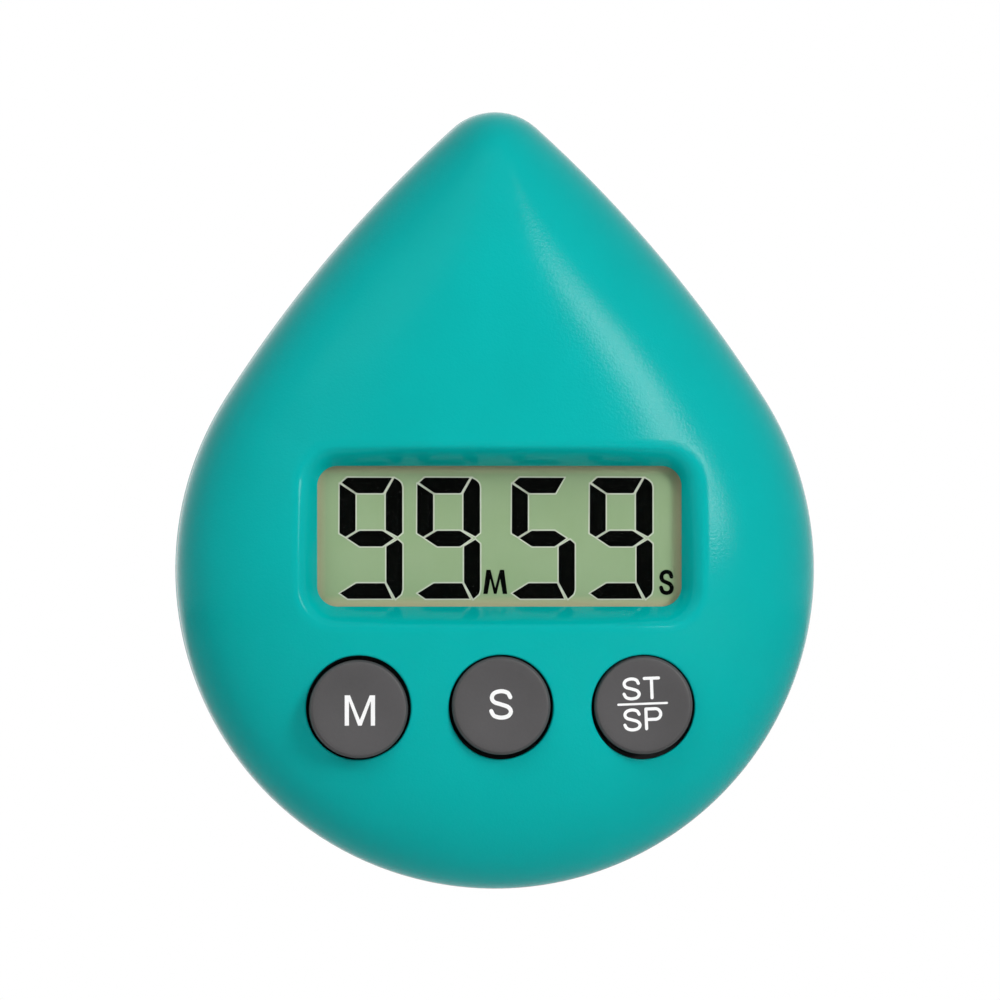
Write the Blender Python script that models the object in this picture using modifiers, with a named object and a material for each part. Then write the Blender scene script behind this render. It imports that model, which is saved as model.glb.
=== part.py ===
# Water-drop shower timer: two-part casing, display stack, keypad, buzzer, battery and suction cup.
# Units are metres. World +X is right, +Z is up and +Y runs away from the viewer, into the wall.
# Pieces are modelled in a front frame: local x right, y up, z from the casing's seam to the viewer.

import math

import bmesh
import bpy
from mathutils import Matrix, Vector

GAP = 0.0003
SMALL_GAP = 0.0001
OVERCUT = 0.001

# Outline of the drop: belly circle, tip circle, and flank arcs tangent to both
BELLY_RADIUS = 0.0378
TIP_RADIUS = 0.0072
TIP_HEIGHT = 0.0542
FLANK_RADIUS = 0.155

# Casing
FRONT_DEPTH = 0.017
REAR_DEPTH = 0.008
WALL = 0.002
RIM_BAND = 0.001
CREST_FALL = 0.12
CREST_FLAT = 0.008
DOME_POWER = 2.5
REAR_ROUND = 0.006
LIP_WIDTH = 0.0012
LIP_RISE = 0.0016
GASKET_WIDTH = 0.0009
GASKET_THICK = 0.001
GASKET_CLEARANCE = 0.00015

# Display window, its sloping recess and the stack behind it
WINDOW_WIDTH = 0.0431
WINDOW_HEIGHT = 0.0166
WINDOW_RADIUS = 0.0024
WINDOW_RAISE = 0.0041
RECESS_SPREAD_X = 0.0056
RECESS_SPREAD_Y = 0.0035
RECESS_OVER = 0.0006
WINDOW_WALL = 0.0008
WINDOW_FRAME = 0.003
LENS_SINK = 0.0005
LENS_PLATE = 0.0006
LENS_FLANGE = 0.0017
LENS_CLEARANCE = 0.0002
GLASS_SHEET = 0.0011
GLASS_BORDER = 0.0022
GLASS_SIDE_TRIM = 0.0005
CONTACT_LEDGE = 0.002
REFLECTOR_THICK = 0.0003
REFLECTOR_TRIM = 0.0005
HOLDER_WALL = 0.0008
HOLDER_SHELF = 0.0008
HOLDER_FOOT = 0.0006
HOLDER_CORNER = 0.0012
HOLDER_BAR = 0.001
STRIP_WIDTH = 0.0013
STRIP_MARGIN = 0.0015

# Circuit board, and the height of its back over the seam
BOARD_LEVEL = 0.0044
BOARD_THICK = 0.0012
BOARD_SIDE_MARGIN = 0.0009
BOARD_TOP_CORNER = 0.008
BOARD_LOW_CORNER = 0.018
BOARD_EDGE_TO_SCREW = 0.003
BOARD_NOTCH_CLEARANCE = 0.0006
TOP_SCREW_SPREAD = 0.015

# Buttons and keypad
BUTTON_HOLE_RADIUS = 0.0062
BUTTON_RADIUS = 0.0058
BUTTON_PITCH = 0.01686
BUTTON_DROP = 0.0162
BUTTON_PROUD = 0.0008
BUTTON_CHAMFER = 0.0005
BUTTON_DISH = 0.0002
BUTTON_TRAVEL = 0.0008
TRAVEL_SPARE = 0.0001
GUIDE_WALL = 0.0016
FLANGE_RADIUS = 0.0071
FLANGE_THICK = 0.0009
MAT_THICK = 0.0007
MAT_HALF_WIDTH = 0.0044
RUBBER_DOME_RADIUS = 0.004
RUBBER_DOME_TOP = 0.0028
RUBBER_WALL = 0.0005
PILL_RADIUS = 0.0016
PILL_THICK = 0.0004

# Screws: board, case and keyhole plate
BOARD_SCREW_RADIUS = 0.001
BOARD_SCREW_LENGTH = 0.006
BOARD_HEAD_STEP = 0.0008
BOARD_HEAD_THICK = 0.0011
BOARD_BOSS_RADIUS = 0.0022
BOARD_BOSS_TO_MAT = 0.0004
CASE_SCREW_RADIUS = 0.0011
CASE_SCREW_LENGTH = 0.012
CASE_HEAD_STEP = 0.0008
CASE_HEAD_THICK = 0.0013
CASE_BOSS_RADIUS = 0.0024
CASE_SCREW_INSET = 0.0068
CASE_SCREW_ANGLE = -29.5
TIP_SCREW_INSET = 0.0182
CASE_HEAD_SINK = 0.0005
CASE_BORE_WALL = 0.0013
PLATE_SCREW_RADIUS = 0.0009
PLATE_SCREW_LENGTH = 0.0038
PLATE_HEAD_STEP = 0.0007
PLATE_HEAD_THICK = 0.0006
PLATE_HEAD_CLEARANCE = 0.0003
PLATE_BOSS_WALL = 0.0009
PLATE_PILOT_FLOOR = 0.0006
SLOT_SHARE = 0.45

# Battery: a cell of standard size in a bayonet cap
CELL_RADIUS = 0.0058
CELL_THICK = 0.0054
CELL_CAP_RADIUS = 0.0046
CELL_CAP_THICK = 0.0006
CELL_CLEARANCE = 0.00035
CELL_EDGE = 0.0003
CAP_HUB_WALL = 0.0012
CAP_DISC_THICK = 0.0018
CAP_SINK = 0.0002
CAP_REACH = 0.0018
CAP_CLEARANCE = 0.0003
CAP_EDGE = 0.0004
COIN_SLOT_LENGTH = 0.012
COIN_SLOT_WIDTH = 0.0018
COIN_SLOT_DEPTH = 0.001
O_RING_THICK = 0.0008
BAYONET_LIP = 0.0008
BAYONET_LUG = 0.0009
BAYONET_REACH = 0.0011
LUG_SPREAD = 34
NOTCH_SPREAD = 46
CAP_TURN = 60
CONTACT_THICK = 0.0003
CONTACT_TAB = 0.0014
CONTACT_INSET = 0.0006
NEGATIVE_TAB_WIDTH = 0.0015
NEGATIVE_TAB_THICK = 0.0004
POSITIVE_TAB_WIDTH = 0.003
BATTERY_TO_EDGE = 0.0018
WELL_WALL = 0.0012

# Keyhole hanger and suction cup
NECK_RADIUS = 0.0025
KNOB_RADIUS = 0.0045
KNOB_THICK = 0.002
KEY_CLEARANCE = 0.0004
KEY_SLIDE = 0.009
KEY_PLATE_THICK = 0.0012
KEY_PLATE_HALF_WIDTH = 0.0078
KEY_SCREW_STEP = 0.0025
KEY_SCREW_EDGE = 0.0013
KEY_TO_BATTERY = 0.001
POCKET_WALL = 0.0012
CUP_RADIUS = 0.02
CUP_RIM_WIDTH = 0.0012
CUP_RIM_THICK = 0.0009
CUP_HOLLOW = 0.0034
CUP_STANDOFF = 0.010
CUP_CROWN = 0.0062
CUP_BOSS_RADIUS = 0.0055

# Buzzer
BUZZER_RADIUS = 0.009
BUZZER_CERAMIC_RADIUS = 0.0062
BUZZER_THICK = 0.0003
BUZZER_CAVITY = 0.0012
BUZZER_RING_WALL = 0.0009
BUZZER_RAISE = 0.003
BUZZER_TO_PLATE = 0.0004

# Small parts on the board, and wires
CHIP_RADIUS = 0.0042
CHIP_RISE = 0.0014
CRYSTAL_RADIUS = 0.001
CRYSTAL_LENGTH = 0.006
CRYSTAL_TO_CHIP = 0.003
CHIP_INSET = 0.001
CHIP_DROP = 0.002
WIRE_RADIUS = 0.0005
WIRE_STEP = 0.001

# Places along the display stack, from the board's back towards the viewer
board_back = BOARD_LEVEL
board_front = board_back + BOARD_THICK
holder_back = board_front + GAP
shelf_back = holder_back + HOLDER_FOOT
shelf_front = shelf_back + HOLDER_SHELF
reflector_back = shelf_front + GAP
reflector_front = reflector_back + REFLECTOR_THICK
glass_back = reflector_front + GAP
glass_middle = glass_back + GLASS_SHEET
glass_front = glass_middle + GLASS_SHEET
lens_back = glass_front + GAP
lens_step = lens_back + LENS_PLATE
window_back = lens_step + GAP
window_floor = window_back + WINDOW_WALL
lens_front = window_floor - LENS_SINK
recess_depth = FRONT_DEPTH - window_floor
glass_width = WINDOW_WIDTH + 2 * GLASS_BORDER - GLASS_SIDE_TRIM
glass_height = WINDOW_HEIGHT + 2 * GLASS_BORDER
holder_width = glass_width + 2 * (GAP + HOLDER_WALL)
holder_height = glass_height + 2 * (GAP + HOLDER_WALL)
holder_top = WINDOW_RAISE + holder_height / 2

# Places along the keypad stack
mat_back = board_front + GAP
mat_front = mat_back + MAT_THICK
pill_back = board_front + TRAVEL_SPARE + BUTTON_TRAVEL
pill_front = pill_back + PILL_THICK
rubber_inside = pill_front + GAP
rubber_top = rubber_inside + RUBBER_WALL
flange_back = rubber_top + GAP
flange_front = flange_back + FLANGE_THICK
guide_end = flange_front + GAP
guide_radius = BUTTON_HOLE_RADIUS + GUIDE_WALL
button_places = [(-BUTTON_PITCH, -BUTTON_DROP), (0, -BUTTON_DROP), (BUTTON_PITCH, -BUTTON_DROP)]

# Board outline and its screws
board_half_width = holder_width / 2 + BOARD_SIDE_MARGIN
low_screw_y = -BUTTON_DROP - (MAT_HALF_WIDTH + BOARD_BOSS_RADIUS + BOARD_BOSS_TO_MAT)
top_screw_y = holder_top + BOARD_BOSS_RADIUS + GAP
board_top = top_screw_y + BOARD_EDGE_TO_SCREW
board_bottom = low_screw_y - BOARD_EDGE_TO_SCREW
board_screws = [
    (-BUTTON_PITCH / 2, low_screw_y),
    (BUTTON_PITCH / 2, low_screw_y),
    (-TOP_SCREW_SPREAD, top_screw_y),
    (TOP_SCREW_SPREAD, top_screw_y),
]

# Rear cover, case screws, and the keyhole above the battery
rear_rim = -GAP
rear_back = -REAR_DEPTH
rear_floor = rear_back + WALL
ledge_top = rear_rim - GAP
lip_top = LIP_RISE
gasket_outer = WALL + GASKET_CLEARANCE
gasket_inner = gasket_outer + GASKET_WIDTH
lip_outer = gasket_inner + GAP
lip_inner = lip_outer + LIP_WIDTH
case_radius = BELLY_RADIUS - CASE_SCREW_INSET
case_angle = math.radians(CASE_SCREW_ANGLE)
case_screws = [
    (0, TIP_HEIGHT - TIP_SCREW_INSET),
    (case_radius * math.cos(case_angle), case_radius * math.sin(case_angle)),
    (-case_radius * math.cos(case_angle), case_radius * math.sin(case_angle)),
]
case_boss_end = lip_top + GAP
case_head_radius = CASE_SCREW_RADIUS + CASE_HEAD_STEP
case_head_back = rear_back + CASE_HEAD_SINK
case_seat = case_head_back + CASE_HEAD_THICK + GAP

hub_inner = CELL_RADIUS + CELL_CLEARANCE
hub_outer = hub_inner + CAP_HUB_WALL
cap_radius = hub_outer + CAP_REACH
counterbore_radius = cap_radius + CAP_CLEARANCE
bore_radius = hub_outer + CAP_CLEARANCE
lug_radius = hub_outer + BAYONET_REACH
groove_radius = lug_radius + CAP_CLEARANCE
notch_radius = lug_radius + CAP_CLEARANCE / 2
cap_back = rear_back + CAP_SINK
cap_front = cap_back + CAP_DISC_THICK
seat_back = cap_front + GAP
o_ring_middle = seat_back + O_RING_THICK / 2
lip_back = seat_back + O_RING_THICK + SMALL_GAP
lip_front = lip_back + BAYONET_LIP
lug_back = lip_front + GAP
lug_front = lug_back + BAYONET_LUG
groove_front = lug_front + GAP
cell_back = cap_front + GAP
cell_front = cell_back + CELL_THICK
contact_back = cell_front + GAP
contact_front = contact_back + CONTACT_THICK
well_floor = contact_front + GAP
well_front = well_floor + WELL_WALL
tab_end = well_front + CONTACT_TAB
rear_flat_radius = BELLY_RADIUS - REAR_ROUND
battery_y = BATTERY_TO_EDGE + counterbore_radius - rear_flat_radius

pocket_radius = KNOB_RADIUS + 2 * KEY_CLEARANCE
key_screw_reach = pocket_radius + KEY_SCREW_STEP
key_plate_reach = key_screw_reach + PLATE_SCREW_RADIUS + KEY_SCREW_EDGE
key_y = battery_y + counterbore_radius + KEY_TO_BATTERY + key_plate_reach + GAP
cup_y = key_y + KEY_SLIDE
key_plate_front = rear_back + KEY_PLATE_THICK
key_ledge = key_plate_front + GAP
key_pad_front = key_ledge + POCKET_WALL
pocket_floor = key_plate_front + GAP + KNOB_THICK + GAP
pocket_front = pocket_floor + POCKET_WALL
key_screws = [(0, cup_y + key_screw_reach), (0, key_y - key_screw_reach)]
seam_y = -(CUP_STANDOFF + REAR_DEPTH)

buzzer_ring_outer = BUZZER_RADIUS + GAP
buzzer_x = -(KEY_PLATE_HALF_WIDTH + GAP + POCKET_WALL + buzzer_ring_outer + BUZZER_TO_PLATE)
buzzer_y = key_y + BUZZER_RAISE
buzzer_seat = rear_floor + BUZZER_CAVITY
buzzer_back = buzzer_seat + GAP
ceramic_back = buzzer_back + BUZZER_THICK + GAP

# Steps round the outline and over the dome
BELLY_STEPS = 20
FLANK_STEPS = 5
TIP_STEPS = 4
DOME_LEVELS = 8
ROUND_LEVELS = 5

for old in list(bpy.data.objects):
    bpy.data.objects.remove(old)

parts = bpy.data.collections.new("shower_timer")
helpers = bpy.data.collections.new("helpers")
bpy.context.scene.collection.children.link(parts)
bpy.context.scene.collection.children.link(helpers)


def add_frame(name, y, z):
    """An empty whose local x runs right, y up and z towards the viewer."""
    frame = bpy.data.objects.new(name, None)
    frame.location = (0, y, z)
    frame.rotation_euler = (math.radians(90), 0, 0)
    parts.objects.link(frame)
    return frame


housing_frame = add_frame("housing_frame", seam_y, -cup_y)
cup_frame = add_frame("cup_frame", 0, 0)


def finish(name, colour, roughness, metallic=0.0, alpha=1.0):
    """A Principled material."""
    material = bpy.data.materials.new(name)
    material.use_nodes = True
    shader = material.node_tree.nodes["Principled BSDF"]
    shader.inputs["Base Color"].default_value = (*colour, 1)
    shader.inputs["Roughness"].default_value = roughness
    shader.inputs["Metallic"].default_value = metallic
    shader.inputs["Alpha"].default_value = alpha
    return material


teal = finish("teal_plastic", (0.0, 0.44, 0.42), 0.38)
button_grey = finish("button_grey", (0.09, 0.09, 0.095), 0.5)
dark_plastic = finish("dark_plastic", (0.03, 0.03, 0.033), 0.5)
clear_plastic = finish("clear_plastic", (0.9, 0.93, 0.92), 0.08, alpha=0.3)
display_glass = finish("display_glass", (0.29, 0.4, 0.21), 0.2)
reflector_foil = finish("reflector_foil", (0.4, 0.45, 0.35), 0.3, 0.6)
board_green = finish("board_green", (0.02, 0.16, 0.06), 0.45)
black_resin = finish("black_resin", (0.01, 0.01, 0.012), 0.3)
grey_rubber = finish("grey_rubber", (0.2, 0.21, 0.22), 0.8)
black_rubber = finish("black_rubber", (0.02, 0.02, 0.02), 0.7)
steel = finish("steel", (0.6, 0.6, 0.6), 0.3, 1.0)
brass = finish("brass", (0.72, 0.52, 0.2), 0.35, 1.0)
ceramic = finish("ceramic", (0.8, 0.78, 0.72), 0.6)
white_plastic = finish("white_plastic", (0.75, 0.75, 0.72), 0.5)
red_insulation = finish("red_insulation", (0.5, 0.02, 0.02), 0.5)
black_insulation = finish("black_insulation", (0.015, 0.015, 0.015), 0.5)
soft_vinyl = finish("soft_vinyl", (0.85, 0.9, 0.9), 0.15, alpha=0.35)


def place(name, mesh, material, frame, origin=(0, 0, 0)):
    """A piece of the timer: its mesh is given in the frame, and its origin is moved to the given point."""
    mesh.transform(Matrix.Translation(-Vector(origin)))
    piece = bpy.data.objects.new(name, mesh)
    piece.parent = frame
    piece.location = origin
    mesh.materials.append(material)
    parts.objects.link(piece)
    return piece


def helper(name, mesh):
    """A cutter or an addition for a Boolean, which isn't a piece itself."""
    made = bpy.data.objects.new(name, mesh)
    made.parent = housing_frame
    made.hide_render = True
    made.display_type = "WIRE"
    helpers.objects.link(made)
    return made


def combine(target, operation, other):
    """A Boolean of one object with another."""
    modifier = target.modifiers.new(operation.lower() + "_" + other.name, "BOOLEAN")
    modifier.operation = operation
    modifier.solver = "EXACT"
    modifier.object = other
    return target


def smooth(mesh, angle=35):
    """Smooth shading with sharp edges kept."""
    mesh.shade_smooth()
    mesh.set_sharp_from_angle(angle=math.radians(angle))


def arc(centre, radius, start, end, steps):
    """Points on an arc, both ends included, angles in degrees."""
    points = []
    for step in range(steps + 1):
        angle = math.radians(start + (end - start) * step / steps)
        points.append((centre[0] + radius * math.cos(angle), centre[1] + radius * math.sin(angle)))
    return points


def circle(centre, radius, steps=24):
    """Points round a circle."""
    return arc(centre, radius, 0, 360, steps)[:-1]


def rounded_box(centre, width, height, top_radius, low_radius=None, steps=4):
    """Points round a rectangle whose upper and lower corners are rounded."""
    low = top_radius if low_radius is None else low_radius
    right = centre[0] + width / 2
    left = centre[0] - width / 2
    top = centre[1] + height / 2
    bottom = centre[1] - height / 2
    points = arc((right - low, bottom + low), low, -90, 0, steps)
    points += arc((right - top_radius, top - top_radius), top_radius, 0, 90, steps)
    points += arc((left + top_radius, top - top_radius), top_radius, 90, 180, steps)
    points += arc((left + low, bottom + low), low, 180, 270, steps)
    return points


def slot(start, end, radius, steps=10):
    """Points round a slot between two centres, one straight above or beside the other."""
    turn = math.degrees(math.atan2(end[1] - start[1], end[0] - start[0]))
    return arc(end, radius, turn - 90, turn + 90, steps) + arc(start, radius, turn + 90, turn + 270, steps)


def flank_centre():
    """Centre of the right flank's arc, tangent inside to the belly and the tip circles."""
    tip_y = TIP_HEIGHT - TIP_RADIUS
    to_belly = FLANK_RADIUS - BELLY_RADIUS
    to_tip = FLANK_RADIUS - TIP_RADIUS
    y = (tip_y**2 + to_belly**2 - to_tip**2) / (2 * tip_y)
    return -math.sqrt(to_belly**2 - y**2), y


def drop_stations(offset=0.0):
    """Points round the drop, drawn in by an offset, each with the point of the middle line it faces."""
    tip_y = TIP_HEIGHT - TIP_RADIUS
    flank_x, flank_y = flank_centre()
    low = math.degrees(math.atan2(-flank_y, -flank_x))
    high = math.degrees(math.atan2(tip_y - flank_y, -flank_x))
    right = [(point, 0.0) for point in arc((0, 0), BELLY_RADIUS - offset, -90, low, BELLY_STEPS)]
    for step in range(1, FLANK_STEPS):
        angle = low + (high - low) * step / FLANK_STEPS
        point = arc((flank_x, flank_y), FLANK_RADIUS - offset, angle, angle, 1)[0]
        right.append((point, flank_y - flank_x * math.tan(math.radians(angle))))
    right += [(point, tip_y) for point in arc((0, tip_y), TIP_RADIUS - offset, high, 90, TIP_STEPS)]
    left = [((-point[0], point[1]), foot) for point, foot in reversed(right[1:-1])]
    return right + left


def drop_outline(offset=0.0):
    """Points round the drop, drawn in by an offset."""
    return [point for point, foot in drop_stations(offset)]


def lofted(name, rings, close_first=False, close_last=False):
    """A skin through rings with the same count of points, which coincide where it closes on a line."""
    form = bmesh.new()
    loops = [[form.verts.new(point) for point in ring] for ring in rings]
    for lower, upper in zip(loops, loops[1:]):
        for step in range(len(lower)):
            after = (step + 1) % len(lower)
            form.faces.new((lower[step], lower[after], upper[after], upper[step]))
    if close_first:
        form.faces.new(list(reversed(loops[0])))
    if close_last:
        form.faces.new(loops[-1])
    bmesh.ops.remove_doubles(form, verts=form.verts, dist=1e-6)
    bmesh.ops.recalc_face_normals(form, faces=form.faces)
    mesh = bpy.data.meshes.new(name)
    form.to_mesh(mesh)
    form.free()
    return mesh


def crest_height(depth, y):
    """Height of the dome's middle line, which falls a little towards the tip."""
    return depth - CREST_FALL * max(0.0, y - CREST_FLAT)


def dome_rings(offset, depth):
    """Rings of the front dome: a short upright band, then a rounded slope up to the middle line."""
    stations = drop_stations(offset)
    rings = [[(point[0], point[1], 0) for point, foot in stations]]
    for level in range(DOME_LEVELS + 1):
        angle = math.radians(90) * level / DOME_LEVELS
        inward = max(0.0, math.cos(angle)) ** (2 / DOME_POWER)
        upward = math.sin(angle) ** (2 / DOME_POWER)
        ring = []
        for point, foot in stations:
            height = RIM_BAND + (crest_height(depth, foot) - RIM_BAND) * upward
            ring.append((point[0] * inward, foot + (point[1] - foot) * inward, height))
        rings.append(ring)
    return rings


def belly_height(radius):
    """Height of the dome's outer face at a distance from the belly's centre, in its lower half."""
    share = 1 - (radius / BELLY_RADIUS) ** DOME_POWER
    return RIM_BAND + (FRONT_DEPTH - RIM_BAND) * share ** (1 / DOME_POWER)


def plate_mesh(name, outlines, back, front):
    """A flat piece between two heights: the first outline is its edge, the others are holes."""
    curve = bpy.data.curves.new(name, "CURVE")
    curve.dimensions = "2D"
    curve.fill_mode = "BOTH"
    curve.extrude = (front - back) / 2
    for outline in outlines:
        spline = curve.splines.new("POLY")
        spline.points.add(len(outline) - 1)
        for knot, point in zip(spline.points, outline):
            knot.co = (point[0], point[1], 0, 1)
        spline.use_cyclic_u = True
    drawn = bpy.data.objects.new(name + "_outline", curve)
    helpers.objects.link(drawn)
    bpy.context.view_layer.update()
    mesh = bpy.data.meshes.new_from_object(drawn.evaluated_get(bpy.context.evaluated_depsgraph_get()))
    bpy.data.objects.remove(drawn)
    form = bmesh.new()
    form.from_mesh(mesh)
    bmesh.ops.remove_doubles(form, verts=form.verts, dist=1e-6)
    bmesh.ops.translate(form, verts=form.verts, vec=(0, 0, (front + back) / 2))
    bmesh.ops.recalc_face_normals(form, faces=form.faces)
    form.to_mesh(mesh)
    form.free()
    mesh.name = name
    return mesh


def plate(name, outlines, back, front, material, origin=(0, 0, 0)):
    """A flat piece of the timer."""
    return place(name, plate_mesh(name, outlines, back, front), material, housing_frame, origin)


def slab(name, outlines, back, front):
    """A flat helper."""
    return helper(name, plate_mesh(name, outlines, back, front))


def box_mesh(name, low, high):
    """A box between two corners."""
    form = bmesh.new()
    bmesh.ops.create_cube(form, size=1)
    size = Vector(high) - Vector(low)
    bmesh.ops.scale(form, verts=form.verts, vec=size)
    bmesh.ops.translate(form, verts=form.verts, vec=(Vector(low) + Vector(high)) / 2)
    mesh = bpy.data.meshes.new(name)
    form.to_mesh(mesh)
    form.free()
    return mesh


def profile_mesh(name, profile, closed=False):
    """A line through points given as radius and height."""
    mesh = bpy.data.meshes.new(name)
    edges = [(index, index + 1) for index in range(len(profile) - 1)]
    if closed:
        edges.append((len(profile) - 1, 0))
    mesh.from_pydata([(radius, 0, height) for radius, height in profile], edges, [])
    return mesh


def turned(name, profile, material, centre, frame, steps=24, closed=False):
    """A turned piece about the local z axis, from a profile that runs from the viewer's end back."""
    piece = place(name, profile_mesh(name, profile, closed), material, frame)
    piece.location = (centre[0], centre[1], 0)
    add_turn(piece, steps)
    return piece


def add_turn(piece, steps):
    """A full turn of a profile."""
    turn = piece.modifiers.new("turn", "SCREW")
    turn.axis = "Z"
    turn.steps = steps
    turn.render_steps = steps
    turn.use_merge_vertices = True
    turn.merge_threshold = 0.000001
    turn.use_smooth_shade = True


def screw(name, centre, radius, head_radius, head_back, head_thick, length, material):
    """A pan-head screw driven from the back, with a cross slot in its head."""
    seat = head_back + head_thick
    tip = seat + length
    bevel = head_thick * 0.4
    profile = [
        (0, tip),
        (radius * 0.5, tip - radius * 0.4),
        (radius, tip - radius * 1.6),
        (radius, seat),
        (head_radius, seat),
        (head_radius, head_back + bevel),
        (head_radius - bevel, head_back),
        (0, head_back),
    ]
    piece = turned(name, profile, material, centre, housing_frame, steps=10)
    blade = head_radius * 0.3
    arm = head_radius * 0.7
    for index, (half_x, half_y) in enumerate([(arm, blade / 2), (blade / 2, arm)]):
        low = (centre[0] - half_x, centre[1] - half_y, head_back - OVERCUT)
        high = (centre[0] + half_x, centre[1] + half_y, head_back + head_thick * SLOT_SHARE)
        combine(piece, "DIFFERENCE", helper(f"{name}_slot_{index}", box_mesh(name, low, high)))
    return piece


# Front shell
def front_shell():
    """The domed front: a skin with the window frame, button guides and screw bosses joined inside."""
    shell = place("front_shell", lofted("front_shell", dome_rings(0, FRONT_DEPTH)), teal, housing_frame)
    wall = shell.modifiers.new("wall", "SOLIDIFY")
    wall.thickness = WALL
    wall.offset = -1
    wall.use_even_offset = True
    core = helper("dome_core", lofted("dome_core", dome_rings(WALL / 2, FRONT_DEPTH - WALL / 2), True))
    window_centre = (0, WINDOW_RAISE)
    frame_width = WINDOW_WIDTH + 2 * WINDOW_FRAME
    frame_height = WINDOW_HEIGHT + 2 * WINDOW_FRAME
    frame_outline = rounded_box(window_centre, frame_width, frame_height, WINDOW_RADIUS + WINDOW_FRAME)
    above = FRONT_DEPTH + OVERCUT
    joined = [slab("window_frame", [frame_outline], window_back, above)]
    for index, place_of in enumerate(button_places):
        joined.append(slab(f"button_guide_{index}", [circle(place_of, guide_radius, 32)], guide_end, above))
    for index, place_of in enumerate(board_screws):
        boss = circle(place_of, BOARD_BOSS_RADIUS, 12)
        joined.append(slab(f"board_boss_{index}", [boss], board_front + GAP, above))
    for index, place_of in enumerate(case_screws):
        boss = circle(place_of, CASE_BOSS_RADIUS, 14)
        joined.append(slab(f"front_boss_{index}", [boss], case_boss_end, above))
    for addition in joined:
        combine(shell, "UNION", combine(addition, "INTERSECT", core))
    recess_rings = []
    for share in (-0.06, 0, 1):
        recess = rounded_box(
            window_centre,
            WINDOW_WIDTH + 2 * RECESS_SPREAD_X * share,
            WINDOW_HEIGHT + 2 * RECESS_SPREAD_Y * share,
            WINDOW_RADIUS + (RECESS_SPREAD_X + RECESS_SPREAD_Y) / 2 * share,
        )
        rise = window_floor + share * (recess_depth + RECESS_OVER)
        recess_rings.append([(x, y, rise) for x, y in recess])
    cuts = [helper("window_recess", lofted("window_recess", recess_rings, True, True))]
    opening = rounded_box(window_centre, WINDOW_WIDTH, WINDOW_HEIGHT, WINDOW_RADIUS)
    cuts.append(slab("window_opening", [opening], window_back - OVERCUT, above))
    for index, place_of in enumerate(button_places):
        hole = circle(place_of, BUTTON_HOLE_RADIUS, 32)
        cuts.append(slab(f"button_hole_{index}", [hole], guide_end - OVERCUT, above))
    for index, place_of in enumerate(board_screws):
        pilot = circle(place_of, BOARD_SCREW_RADIUS + GAP, 12)
        reach = board_back + BOARD_SCREW_LENGTH + GAP
        cuts.append(slab(f"board_pilot_{index}", [pilot], board_front - OVERCUT, reach))
    for index, place_of in enumerate(case_screws):
        pilot = circle(place_of, CASE_SCREW_RADIUS + GAP, 12)
        reach = case_seat + CASE_SCREW_LENGTH + GAP
        cuts.append(slab(f"case_pilot_{index}", [pilot], case_boss_end - OVERCUT, reach))
    for cut in cuts:
        combine(shell, "DIFFERENCE", cut)
    smooth(shell.data, 50)


# Rear cover
def rear_rings():
    """Rings of the rear dish: up its rounded outside, over the rim, ledge and lip, and down to its floor."""
    section = []
    for level in range(ROUND_LEVELS + 1):
        angle = math.radians(90) * (1 - level / ROUND_LEVELS)
        section.append((REAR_ROUND * (1 - math.cos(angle)), rear_back + REAR_ROUND * (1 - math.sin(angle))))
    section += [
        (0, rear_rim),
        (WALL, rear_rim),
        (WALL, ledge_top),
        (lip_outer, ledge_top),
        (lip_outer, lip_top),
        (lip_inner, lip_top),
        (lip_inner, rear_floor),
    ]
    return [[(x, y, height) for x, y in drop_outline(offset)] for offset, height in section]


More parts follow.
